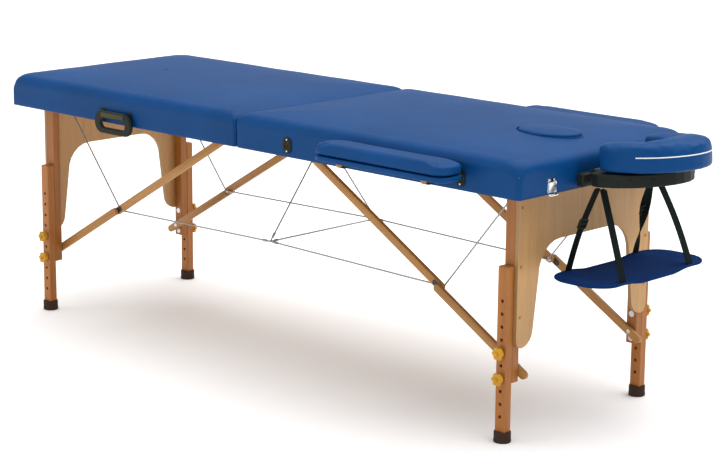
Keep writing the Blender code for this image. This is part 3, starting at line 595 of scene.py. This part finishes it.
def ripple(out, y, z):
    """How far the vinyl stands out from its smooth shape."""
    near_end = HALF_LENGTH - out
    corner = math.exp(-(((near_end - 0.01) / 0.05) ** 2 + ((HALF_WIDTH - abs(y) - 0.01) / 0.05) ** 2))
    around = math.atan2(HALF_WIDTH - 0.03 - abs(y), near_end - 0.03)
    pleats = 0.0006 * math.sin(around * 14.0) * corner
    low = max(0.0, 1 - (z - FRAME_BOTTOM) / 0.03)
    pull = 0.00025 * low * math.cos((out + y) * 2 * math.pi / 0.044)
    drift = noise.noise(Vector((out * 7.0, y * 7.0, z * 9.0))) * 0.0009
    return pleats + pull + drift * (0.3 if z < 0.645 else 1.0)


def make_top(end_name, end):
    bm = bmesh.new()
    rows = []
    for inset, height, seam_radius, end_radius in top_profile():
        low, high, half = 0.0006 + inset, HALF_LENGTH - inset, HALF_WIDTH - inset
        row = []
        for out, y in ring(low, high, half, max(seam_radius, 0.003), max(end_radius, 0.003)):
            grow = 0.0 if height < HEM_Z else ripple(out, y, height)
            side = max(0.0, 1 - max(inset, 0) / 0.02)
            centre = Vector((min(max(out, 0.06), HALF_LENGTH - 0.06), max(-0.26, min(0.26, y))))
            away = (Vector((out, y)) - centre).normalized()
            out2 = max(out + away.x * grow * side, 0.0004)
            y2, z2 = y + away.y * grow * side, height + grow * (1 - side)
            row.append(bm.verts.new((x_at(end, out2), y2, z2)))
        rows.append(row)
    bridge(bm, rows)
    bm.faces.new(rows[-1])
    bmesh.ops.remove_doubles(bm, verts=bm.verts, dist=0.00002)
    last = [face for face in bm.faces if len(face.verts) > 8]
    bmesh.ops.triangulate(bm, faces=last)
    top = from_bmesh(end_name + "_top", bm, "vinyl")
    skin = top.modifiers.new("skin", "SOLIDIFY")
    skin.thickness = 0.0009
    skin.offset = -1
    return settle(top)


def oval(grow, steps=64):
    x = x_at(1, FACE_OUT)
    angles = [2 * math.pi * i / steps for i in range(steps)]
    return [(x + (FACE_X + grow) * math.cos(a), (FACE_Y + grow) * math.sin(a)) for a in angles]


def make_tops():
    for end_name, end in ENDS:
        top = make_top(end_name, end)
        if end > 0:
            hole = plate("face_hole_helper", [oval(0.003)], 0.2, Matrix.Translation((0, 0, TOP)), None)
            cut(top, hole)
            bm = bmesh.new()
            bores = [(out, ARMREST_POLE_Z, POLE_HOLE_RADIUS) for out in POLES_OUT]
            bores += [(out, SOCKET_Z, SOCKET_RADIUS) for out in SOCKETS_OUT]
            for _, side in SIDES:
                for out, z, radius in bores:
                    rod_in(bm, (x_at(1, out), side * 0.3, z), (x_at(1, out), side * 0.34, z), radius)
                y = side * CRADLE_POLE_Y
                rod_in(bm, (x_at(1, 0.915), y, CRADLE_POLE_Z), (x_at(1, 0.945), y, CRADLE_POLE_Z), 0.0075)
            cut(top, from_bmesh("bores_helper", bm, None))
        put(top, end_name + "_half", (end_name + "_cover", end_name + "_foam"), 60)
        make_staples(end_name, end)


def make_staples(end_name, end):
    """Staples that hold the turned-in hem under the rails."""
    bm = bmesh.new()
    z = 0.5943
    inset = 0.0085
    for i in range(20):
        out = 0.03 + i * 0.0455
        low, high = x_at(end, out - 0.005), x_at(end, out + 0.005)
        for _, side in SIDES:
            y = side * (HALF_WIDTH - inset)
            box_in(bm, (low, y - 0.0004, z), (high, y + 0.0004, z + 0.0006))
    for i in range(13):
        y = -0.276 + i * 0.046
        x = x_at(end, HALF_LENGTH - inset)
        box_in(bm, (x - 0.0004, y - 0.005, z), (x + 0.0004, y + 0.005, z + 0.0006))
    put_solid(end_name + "_staples", bm, "steel", end_name + "_half")


def swept_oval(name, profile, key):
    """A closed cross-section, given as (grow, z), carried round the face hole."""
    bm = bmesh.new()
    rings = [[bm.verts.new((x, y, z)) for x, y in oval(grow)] for grow, z in profile]
    bridge(bm, rings + rings[:1])
    return from_bmesh(name, bm, key)


def make_face_hole():
    high = TOP + 0.0058
    profile = [
        (0.0, 0.6482), (0.0, high - 0.003), (0.0012, high - 0.0008),
        (0.0034, high + 0.0004), (0.006, high),
        (0.0066, high - 0.0012), (0.004, high - 0.004), (0.0024, high - 0.008), (0.0022, 0.6482)]
    put(swept_oval("face_hole_lining", profile, "vinyl"), "head_half")
    plug = node_copy("face_hole_plug", "face_plug", "vinyl")
    puff(plug, 0.004, 0.004, lambda co: co.z < 0.6905, 3.0)
    for vertex in plug.data.vertices:
        if vertex.co.z > 0.675:
            vertex.co.z += 0.005
    put(plug, "face_hole_plug", ("face_hole_plug",), 60)


# Cradle

def cradle_place(height):
    tilt = Matrix.Rotation(-CRADLE_TILT, 4, "Y")
    return Matrix.Translation((x_at(1, TILT_OUT), 0, TILT_Z)) @ tilt @ Matrix.Translation((0, 0, height))


def make_cradle():
    flat = cradle_place(0).inverted()
    cushion = node_copy("cradle_cushion", "face_cushion", "vinyl")
    puff(cushion, 0.005, 0.01, lambda co: (flat @ co).z < 0.009, 4.0, shrink=0.004)
    middle = 0.041
    place = cradle_place(middle)
    hub = place @ Vector((0.1155, 0, 0))
    outline = arc((0.1155, 0), 0.13, -76, 76, 44)
    line = girth(cushion, [place @ Vector((u, v, 0)) for u, v in outline], hub, 0.0002)
    piping = tube("cushion_piping", line, 0.0014, "vinyl_piping")
    put(piping, "cradle_head")
    put(cushion, "cradle_head", ("cradle_cushion",), 60)
    bm = bmesh.new()
    place = cradle_place(-0.015)
    for angle in (-62, -38, 38, 62):
        direction = Vector((math.cos(math.radians(angle)), math.sin(math.radians(angle)), 0))
        at = place @ (Vector((0.06, 0, 0)) + direction * 0.1302)
        screw_in(bm, at, place.to_3x3() @ direction, 0.0042, 0.0012)
    put_solid("cradle_plate_rivets", bm, "black", "cradle_head")
    board = node_copy("cradle_plate", "cradle_board", "black")
    put(board, "cradle_head", ("cradle_plate",), 35)
    make_tilt_hinge()


def make_tilt_hinge():
    """A rod on the tilt axis, with knuckles fixed in turn to the arms and to the plate."""
    x = x_at(1, TILT_OUT)
    for body, name, first, reach, low, high, head in (
        ("cradle_arms", "arm_knuckles", 0, -0.014, -0.0018, -0.0002, 0.0008),
        ("cradle_head", "plate_knuckles", 1, 0.014, 0.0006, 0.0026, 0.0036),
    ):
        bm = bmesh.new()
        for i in range(first, 8, 2):
            y = -0.088 + i * 0.022
            rod_in(bm, (x, y + 0.0004, TILT_Z + 0.0012), (x, y + 0.0216, TILT_Z + 0.0012), 0.0034)
            box_in(bm, (x, y + 0.001, TILT_Z + low), (x + reach, y + 0.021, TILT_Z + high))
            screw_x, screw_y = x + reach * 0.7, y + 0.011
            rod_in(bm, (screw_x, screw_y, TILT_Z - 0.0006), (screw_x, screw_y, TILT_Z + head), 0.0028, 12)
        put_solid(name, bm, "dark_steel", body)


STRAP_SECTION = (
    (1, 0.25), (0.94, 1), (0, 1.06), (-0.94, 1), (-1, 0.25),
    (-1, -0.25), (-0.94, -1), (0, -1.06), (0.94, -1), (1, -0.25),
)


def make_strap(name, points, twist=0.0):
    """A flat strap of the sling along points, its width along Y, turned evenly by `twist` radians."""
    bm = bmesh.new()
    rows = []
    points = [Vector(p) for p in points]
    for i, point in enumerate(points):
        before, after = points[max(i - 1, 0)], points[min(i + 1, len(points) - 1)]
        along = (after - before).normalized()
        wide = square_to(along, Vector((0, 1, 0)))
        t = i / (len(points) - 1)
        wide = Matrix.Rotation(twist * (3 * t * t - 2 * t * t * t), 3, along) @ wide
        thin = along.cross(wide)
        row = []
        for a, b in STRAP_SECTION:
            step = wide * (a * STRAP_WIDTH / 2) + thin * (b * STRAP_THICKNESS / 2)
            row.append(bm.verts.new(point + step))
        rows.append(row)
    bridge(bm, rows, capped=True)
    put_solid(name, bm, "webbing", "arm_sling")


SLING_OUT, SLING_HALF, SLING_Z = (0.92, 1.09), 0.215, 0.4
STRAP_Y, STRAP_WIDTH, STRAP_THICKNESS = 0.13, 0.024, 0.0018


def sling_outline(grow=0.0, steps=7):
    low = (x_at(1, SLING_OUT[0]) - grow, -SLING_HALF - grow)
    high = (x_at(1, SLING_OUT[1]) + grow, SLING_HALF + grow)
    return rounded_box(low, high, 0.062 + grow, steps)


def make_sling():
    x = x_at(1, sum(SLING_OUT) / 2)
    level = Matrix.Translation((0, 0, SLING_Z))
    shelf = plate("sling_shelf", [sling_outline(-0.002)], 0.007, level, "nylon", 0.0015)
    places = (SLING_OUT[0] + 0.008, SLING_OUT[1] - 0.008)
    anchors = [(x_at(1, out), side * STRAP_Y) for out in places for _, side in SIDES]

    def held(co):
        return abs(co.y) > 0.188 or any(math.hypot(co.x - x, co.y - y) < 0.016 for x, y in anchors)

    puff(shelf, 0.005, 0.007, held, 1.2, gravity=0.8)
    points = []
    outline = sling_outline(0.0)
    for i, (u, v) in enumerate(outline):
        after = outline[(i + 1) % len(outline)]
        steps = max(1, int(math.hypot(after[0] - u, after[1] - v) / 0.012))
        for k in range(steps):
            points.append((u + (after[0] - u) * k / steps, v + (after[1] - v) * k / steps))
    edge = []
    for u, v in points:
        ends = Vector((x, max(-0.13, min(0.13, v)), SLING_Z))
        spot = Vector((u, v, SLING_Z))
        inward = (ends - spot).normalized()
        near = min((v.co for v in shelf.data.vertices), key=lambda co: (co.xy - spot.xy).length_squared)
        edge.append(Vector((spot.x, spot.y, near.z)) + Vector((inward.x, inward.y, 0)) * 0.0025)
    binding = tube("sling_binding", edge, 0.0034, "nylon", cyclic=True)
    put(binding, "arm_sling")
    put(shelf, "arm_sling", ("arm_sling",), 60)
    make_straps()


def make_straps():
    top_z = 0.6013
    rivets = bmesh.new()
    for side_name, side in SIDES:
        for place, out, way in (("inner", SLING_OUT[0] + 0.006, -1), ("outer", SLING_OUT[1] - 0.006, 1)):
            top = Vector((x_at(1, 0.992 + way * 0.008), side * 0.105, top_z))
            bottom = Vector((x_at(1, out), side * STRAP_Y, SLING_Z + 0.002))
            steps = 26
            points = []
            for i in range(steps + 1):
                t = i / steps
                slack = 0.004 * math.sin(math.pi * t)
                points.append(top.lerp(bottom, t) + Vector((slack * way, side * slack, 0)))
            name = f"sling_strap_{side_name}_{place}"
            make_strap(name, points, math.pi if (side_name, place) == ("back", "inner") else 0.0)
            make_strap(name + "_tongue", [
                bottom + Vector((0, 0, 0.003)), bottom + Vector((0, 0, -0.001)),
                Vector((bottom.x - way * 0.03, bottom.y, SLING_Z - 0.0055))])
            if place == "inner":
                make_buckle(f"strap_buckle_{side_name}", points[11], (points[12] - points[10]).normalized())
            spot = Vector((top.x, top.y, top_z + 0.0002))
            rod_in(rivets, spot, spot + Vector((0, 0, 0.0016)), 0.0045, 14, 0.0005)
    put_solid("strap_rivets", rivets, "black", "arm_sling")


def make_buckle(name, at, along):
    """A slide buckle: a flat frame with a middle bar, round the strap."""
    wide = square_to(along, Vector((0, 1, 0)))
    thin = along.cross(wide)
    place = Matrix((wide, along, thin)).transposed().to_4x4()
    place.translation = at
    outer = rounded_box((-0.016, -0.0125), (0.016, 0.0125), 0.003, 3)
    upper = rounded_box((-0.0126, 0.0018), (0.0126, 0.0092), 0.001, 2)
    lower = rounded_box((-0.0126, -0.0092), (0.0126, -0.0018), 0.001, 2)
    put(plate(name, [outer, upper, lower], 0.005, place, "black", 0.0008), "arm_sling")


# Ropes

def even_points(points, step):
    """Points at an even step along a broken line."""
    found = []
    for start, end in zip(points, points[1:]):
        start, end = Vector(start), Vector(end)
        count = max(1, round((end - start).length / step))
        found += [start.lerp(end, i / count) for i in range(count)]
    found.append(Vector(points[-1]))
    return found


def rope_in(bm, points, radius, pitch=0.011, strands=3, sides=9):
    """A twisted rope: a lobed section that turns as it goes."""
    rows = []
    travelled = 0.0
    for i, point in enumerate(points):
        before, after = points[max(i - 1, 0)], points[min(i + 1, len(points) - 1)]
        along = (after - before).normalized()
        wide = square_to(along, Vector((0, 1, 0) if abs(along.y) < 0.9 else (1, 0, 0)))
        thin = along.cross(wide)
        travelled += (point - before).length
        turn = 2 * math.pi * travelled / pitch
        row = []
        for k in range(sides):
            angle = 2 * math.pi * k / sides
            reach = radius * (0.86 + 0.14 * math.cos(strands * (angle - turn)))
            row.append(bm.verts.new(point + (wide * math.cos(angle) + thin * math.sin(angle)) * reach))
        rows.append(row)
    bridge(bm, rows, capped=True)


def make_rope(name, body, lines):
    """Ropes and their ferrules in one piece."""
    bm = bmesh.new()
    for line in lines:
        rope_in(bm, even_points(line, 0.0028), ROPE_RADIUS)
        for at, towards in ((line[0], line[1]), (line[-1], line[-2])):
            at = Vector(at)
            along = (Vector(towards) - at).normalized()
            rod_in(bm, at + along * 0.012, at + along * 0.026, FERRULE_RADIUS, 12, 0.0006)
    rope = put(from_bmesh(name + "_wire", bm, "rope"), body, (name + "_rope",), 60)
    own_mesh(rope)


def make_ropes():
    length, _ = brace_lengths()
    knee = (FRAME_PIVOT_OUT + length * math.cos(SLOPE), FRAME_PIVOT_Z - length * math.sin(SLOPE))
    for end_name, end in ENDS:
        for side_name, side in SIDES:
            y = side * ROPE_Y
            axle = (x_at(end, AXLE_OUT - 0.004), y, AXLE_Z - 0.0065)
            line = [axle, (x_at(end, knee[0]), y, knee[1]), (x_at(end, 0.0018), y, HUB_Z)]
            make_rope(f"{end_name}_{side_name}", end_name + "_half", [line])
    apex = (SEAM_X, 0, HINGE_Z - 0.0075)
    lines = [[(SEAM_X, side * ROPE_Y, HUB_Z), apex] for _, side in SIDES]
    lines.append([(SEAM_X, -ROPE_Y + 0.002, HUB_Z), (SEAM_X, ROPE_Y - 0.002, HUB_Z)])
    make_rope("centre", "centre_stay", lines)


# Braces

def brace_lengths():
    reach = math.hypot(AXLE_OUT - FRAME_PIVOT_OUT, FRAME_PIVOT_Z - LEG_PIVOT_Z)
    folded = AXLE_OUT - (AXLE_Z - LEG_PIVOT_Z) - FRAME_PIVOT_OUT
    step = FRAME_PIVOT_Z - AXLE_Z
    upper = (reach**2 - folded**2 - step**2) / (2 * (reach - folded))
    return upper, reach - upper


def bar_outline(start, end, half):
    return arc((start + half, 0), half, 90, 270, 8) + arc((end - half, 0), half, -90, 90, 8)


def brace_place(pivot, direction, side, middle):
    angle = math.atan2(direction[1], direction[0])
    turn = Matrix.Rotation(-angle, 4, "Y")
    return Matrix.Translation((pivot[0], side * middle, pivot[1])) @ turn @ ALONG_Y


def make_brace(name, key, side, pivot, way, layer, start, length):
    """A wooden bar, its knee plate towards the other brace, and the heads of its bolts."""
    upper = layer == UPPER_LAYER
    inner, outer = layer
    place = brace_place(pivot, way, side, (inner + outer) / 2)
    outline = bar_outline(start, length + 0.0095, 0.0102)
    put(plate(name + "_bar", [outline], outer - inner, place, key, 0.0016), name, (name,))
    face, facing = (outer, 1) if upper else (inner, -1)
    place = brace_place(pivot, way, side, face - facing * 0.00065)
    outline = bar_outline(length - 0.026, length + 0.0085, 0.008)
    put(plate(name + "_knee_plate", [outline], 0.0018, place, "dark_steel", 0.0003), name)
    heads = bmesh.new()
    turned = Vector((way[0], 0, way[1]))
    at = Vector((pivot[0], side * inner, pivot[1]))
    inward = Vector((0, -side, 0))
    screw_in(heads, at, inward, 0.0055, 0.0018 if upper else 0.0003)
    if upper:
        knee = at + turned * length
        rod_in(heads, knee, knee - inward * (outer - inner), 0.0045, 16)
        screw_in(heads, knee, inward, 0.0062, 0.002)
    spot = Vector((pivot[0], side * face, pivot[1])) + turned * (length - 0.019)
    screw_in(heads, spot, -inward * facing, 0.003, 0.0002)
    put_solid(name + "_heads", heads, "steel", name)


def make_braces():
    upper_length, lower_length = brace_lengths()
    for end_name, end in ENDS:
        along = Vector((end * math.cos(SLOPE), -math.sin(SLOPE)))
        top = Vector((x_at(end, FRAME_PIVOT_OUT), FRAME_PIVOT_Z))
        low = Vector((x_at(end, AXLE_OUT), LEG_PIVOT_Z))
        for side_name, side in SIDES:
            for kind, pivot, way, layer, start, length in (
                ("upper", top, along, UPPER_LAYER, -0.0105, upper_length),
                ("lower", low, -along, LOWER_LAYER, -0.04, lower_length),
            ):
                name = f"{end_name}_{side_name}_{kind}_brace"
                make_brace(name, f"{end_name}_{kind}_brace", side, pivot, way, layer, start, length)


# Fittings

def escutcheon(name, out, side, z, width, height, bore):
    place = Matrix.Translation((x_at(1, out), side * SIDE_FACE + side * 0.0013, z)) @ ALONG_Y
    outer = rounded_box((-width / 2, -height / 2), (width / 2, height / 2), min(width, height) * 0.42, 8)
    piece = plate(name, [outer, circle(bore)], 0.0026, place, "black", 0.0008)
    put(piece, "head_half")


def circle(radius):
    return arc((0, 0), radius, 0, 345, 23)


def make_fittings():
    for side_name, side in SIDES:
        screws = bmesh.new()
        for i, out in enumerate(SOCKETS_OUT):
            escutcheon(f"{side_name}_socket_plate_{i + 1}", out, side, SOCKET_Z, 0.03, 0.04, 0.0068)
            x = x_at(1, out)
            for dz in (-0.0145, 0.0145):
                at = (x, side * (SIDE_FACE + 0.0024), SOCKET_Z + dz)
                screw_in(screws, at, (0, side, 0), 0.0024, 0.0009)
            bm = bmesh.new()
            rod_in(bm, (x, side * 0.2995, SOCKET_Z), (x, side * 0.3012, SOCKET_Z), 0.0085)
            put_solid(f"{side_name}_socket_back_{i + 1}", bm, "black", "head_half")
        for i, out in enumerate(POLES_OUT):
            escutcheon(f"{side_name}_pole_collar_{i + 1}", out, side, ARMREST_POLE_Z, 0.026, 0.026, 0.0079)
        put_solid(side_name + "_socket_screws", screws, "steel", "head_half")
        x = x_at(1, HALF_LENGTH + 0.0016)
        place = Matrix.Translation((x, side * CRADLE_POLE_Y, CRADLE_POLE_Z)) @ ALONG_X
        rings = [circle(0.013), circle(0.0074)]
        collar = plate(f"cradle_collar_{side_name}", rings, 0.0026, place, "black", 0.0007)
        put(collar, "head_half")
    make_latches()
    make_handle()
    make_armrests()


def make_latches():
    for side_name, side in SIDES:
        y = side * LATCH_Y
        x = x_at(1, HALF_LENGTH + 0.0007)
        bm = bmesh.new()
        box_in(bm, (x - 0.0004, y - 0.0145, 0.5995), (x + 0.0008, y + 0.0145, 0.633), 0.0003)
        for dy in (-0.012, 0.012):
            box_in(bm, (x + 0.0004, y + dy - 0.0012, 0.619), (x + 0.004, y + dy + 0.0012, 0.6262), 0.0003)
        for dy in (-0.008, 0.008):
            screw_in(bm, (x + 0.0008, y + dy, 0.6296), (1, 0, 0), 0.0024, 0.0009)
        put_solid(side_name + "_latch_base", bm, "chrome", "head_half")
        bm = bmesh.new()
        x = x_at(1, HALF_LENGTH + 0.003)
        rod_in(bm, (x, y - 0.0137, LATCH_PIN_Z), (x, y + 0.0137, LATCH_PIN_Z), 0.0013, 12)
        put_solid(side_name + "_latch_pin", bm, "steel", side_name + "_latch")
        x = x_at(-1, HALF_LENGTH + 0.0007)
        bm = bmesh.new()
        box_in(bm, (x + 0.0004, y - 0.013, 0.5995), (x - 0.0008, y + 0.013, 0.625), 0.0003)
        box_in(bm, (x - 0.0004, y - 0.009, 0.602), (x - 0.004, y + 0.009, 0.6036), 0.0003)
        for dy in (-0.007, 0.007):
            screw_in(bm, (x - 0.0008, y + dy, 0.619), (-1, 0, 0), 0.0024, 0.0009)
        put_solid(side_name + "_latch_catch", bm, "chrome", "foot_half")


def make_handle():
    x, z = x_at(-1, HANDLE_OUT), HANDLE_Z
    face = -HALF_WIDTH - 0.0026
    bm = bmesh.new()
    for du in (-0.056, 0.056):
        low, high = (x + du - 0.009, -HALF_WIDTH - 0.0004, z - 0.012), (x + du + 0.009, face, z + 0.012)
        box_in(bm, low, high, 0.0008)
        for dz in (-0.007, 0.007):
            screw_in(bm, (x + du, face, z + dz), (0, -1, 0), 0.0026, 0.0007)
    put_solid("handle_plates", bm, "black", "foot_half")
    z -= 0.003
    grip = [(x - 0.046 + 0.092 * i / 24, HANDLE_Y, z) for i in range(25)]
    sleeve = tube("handle_grip", grip, 0.0088, "grip")
    middle = Matrix.Translation((0, HANDLE_Y, z))
    sleeve.data.transform(middle @ Matrix.Diagonal((1, 0.86, 1.16, 1)) @ middle.inverted())
    for vertex in sleeve.data.vertices:
        wave = 0.0005 * math.cos((vertex.co.x - x) * 2 * math.pi / 0.0077)
        away = Vector((0, vertex.co.y - HANDLE_Y, vertex.co.z - z))
        vertex.co += away.normalized() * wave
    put(sleeve, "carry_handle")


def make_armrests():
    for side_name, side in SIDES:
        body = side_name + "_armrest"
        pad = node_copy(body + "_pad", body + "_cushion", "vinyl")
        puff(pad, 0.005, 0.0055, lambda co: co.z < 0.6425, 4.0, shrink=0.0015)
        put(pad, body, (body + "_pad",), 60)
        outline = rounded_box((x_at(1, 0.366), 0.3345), (x_at(1, 0.789), 0.424), 0.035, 8)
        outline = [(u, side * v) for u, v in outline]
        place = Matrix.Translation((0, 0, 0.6325))
        board = plate(body + "_base", [outline], 0.012, place, "vinyl", 0.003)
        put(board, body, (body + "_board",))
        bm = bmesh.new()
        black = bmesh.new()
        z = ARMREST_POLE_Z
        for out in POLES_OUT:
            x = x_at(1, out)
            rod_in(bm, (x, side * 0.2985, z), (x, side * 0.406, z), 0.0074, 24, 0.0008)
            low, high = (x - 0.012, side * 0.352, z - 0.0097), (x + 0.012, side * 0.398, z + 0.009)
            box_in(black, low, high, 0.002)
            for dy in (0.36, 0.39):
                screw_in(black, (x, side * dy, z - 0.0097), (0, 0, -1), 0.0028, 0.0008)
        put_solid(body + "_poles", bm, "dowel_wood", body)
        put_solid(body + "_carriers", black, "black", body)


def make_leg_fittings():
    for end_name, end in ENDS:
        x = x_at(end, AXLE_OUT)
        panel_face = x_at(end, AXLE_OUT + 0.0243)
        steel = bmesh.new()
        plugs = bmesh.new()
        for _, side in SIDES:
            for _, z in KNOB_HEIGHTS:
                y = side * 0.2285
                rod_in(steel, (x, y, z), (x, y - side * 0.00035, z), 0.0078, 18)
            for z in (0.3, 0.42, 0.56):
                screw_in(plugs, (panel_face, side * 0.24, z), (end, 0, 0), 0.0044, 0.0003)
        put_solid(end_name + "_panel_plugs", plugs, "extension_wood", end_name + "_legs")
        put_solid(end_name + "_leg_screws", steel, "steel", end_name + "_legs")
        collars = bmesh.new()
        for _, side in SIDES:
            rod_in(collars, (x, side * 0.2555, AXLE_Z), (x, side * 0.26, AXLE_Z), 0.0075, 18, 0.0006)
            rod_in(collars, (x, side * 0.296, AXLE_Z), (x, side * 0.301, AXLE_Z), 0.009, 18, 0.0008)
        put_solid(end_name + "_axle_collars", collars, "dark_steel", end_name + "_half")
        for side_name, side in SIDES:
            prefix = f"{end_name}_{side_name}"
            for kind, z in KNOB_HEIGHTS:
                bm = bmesh.new()
                y = side * (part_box(f"{prefix}_{kind}_knob")[1 if side > 0 else 0].y * side + 0.0001)
                rod_in(bm, (x, y, z), (x, y + side * 0.0028, z), 0.0046, 6, 0.0006)
                put_solid(f"{prefix}_{kind}_stud", bm, "knob", f"{prefix}_{kind}_knob")
    for end_name, end in ENDS:
        screws = bmesh.new()
        for i in range(9):
            y = -0.3 + (i + 0.5) * 0.6 / 9
            screw_in(screws, (x_at(end, 0.0135), y, 0.5935), (0, 0, -1), 0.0028, 0.0008)
        put_solid(end_name + "_hinge_screws", screws, "steel", end_name + "_half")


END_LOOKS = {"deck": "deck", "end_panel": "panel", "leg_axle": "steel", "hinge_leaf": "steel"}
LEG_LOOKS = {
    "leg": "leg_wood", "leg_extension": "extension_wood", "foot": "rubber",
    "lower_knob": "knob", "upper_knob": "knob",
}


def dress_nodes():
    for end_name, _ in ENDS:
        dress(end_name + "_frame", end_name + "_frame")
        for part, key in END_LOOKS.items():
            dress(f"{end_name}_{part}", key)
        for side_name, _ in SIDES:
            for part, key in LEG_LOOKS.items():
                dress(f"{end_name}_{side_name}_{part}", key)
    for node in ("cradle_arms", "cradle_plate", "carry_handle"):
        dress(node, "black")
    dress("centre_hinge_pin", "steel")
    for side_name, _ in SIDES:
        dress(side_name + "_latch", "chrome")


# Camera, floor and light

CAMERA_TURN = (43.617, 12.52, 0.538)
CAMERA_AT = (3.8281, -3.868, 1.5496)
PHOTO_WIDTH, FOCAL_PIXELS = 726, 2086.6


def make_stage():
    yaw, pitch, roll = (math.radians(angle) for angle in CAMERA_TURN)
    ahead = Vector((-math.sin(yaw) * math.cos(pitch), math.cos(yaw) * math.cos(pitch), -math.sin(pitch)))
    level = Vector((math.cos(yaw), math.sin(yaw), 0))
    above = level.cross(ahead)
    right = math.cos(roll) * level + math.sin(roll) * above
    up = -math.sin(roll) * level + math.cos(roll) * above
    camera = bpy.data.cameras.new("camera")
    camera.sensor_width = 36.0
    camera.lens = camera.sensor_width * FOCAL_PIXELS / PHOTO_WIDTH
    camera.clip_end = 100.0
    view = link("camera", camera)
    place = Matrix((right, up, -ahead)).transposed().to_4x4()
    place.translation = Vector((CAMERA_AT[0] + SEAM_X, *CAMERA_AT[1:]))
    view.matrix_world = place
    bpy.context.scene.camera = view
    floor_material, tree, shader = nodes_of("pale_floor", (0.93, 0.93, 0.93), 0.9)
    spots = noise_node(tree, coords(tree), 3.0, 2.0)
    paint(tree, shader, ramp(tree, spots, [(0.0, (0.915,) * 3), (1.0, (0.935,) * 3)]))
    mesh = bpy.data.meshes.new("floor")
    size = 30.0
    corners = [(-size, -size, 0), (size, -size, 0), (size, size, 0), (-size, size, 0)]
    mesh.from_pydata(corners, [], [(0, 1, 2, 3)])
    mesh.materials.append(floor_material)
    floor = link("floor", mesh)
    floor.location.z = -0.0002
    world = bpy.data.worlds.new("studio")
    world.use_nodes = True
    background = world.node_tree.nodes["Background"]
    background.inputs["Color"].default_value = (1.0, 1.0, 1.0, 1)
    background.inputs["Strength"].default_value = 0.48
    bpy.context.scene.world = world
    for name, angle, strength, location in (
        ("overhead", 90, 3.65, (0.6, 0.8, 4.0)),
        ("side", 40, 0.45, (-2.5, -3.0, 1.6)),
    ):
        light = bpy.data.lights.new(name, "SUN")
        light.angle = math.radians(angle)
        light.energy = strength
        lamp = link(name, light)
        lamp.location = location
        lamp.rotation_mode = "QUATERNION"
        lamp.rotation_quaternion = (-Vector(location)).to_track_quat("-Z", "Y")
    bpy.context.scene.view_settings.view_transform = "Standard"


make_stage()
dress_nodes()
make_tops()
make_face_hole()
make_cradle()
make_sling()
make_ropes()
make_braces()
make_fittings()
make_leg_fittings()
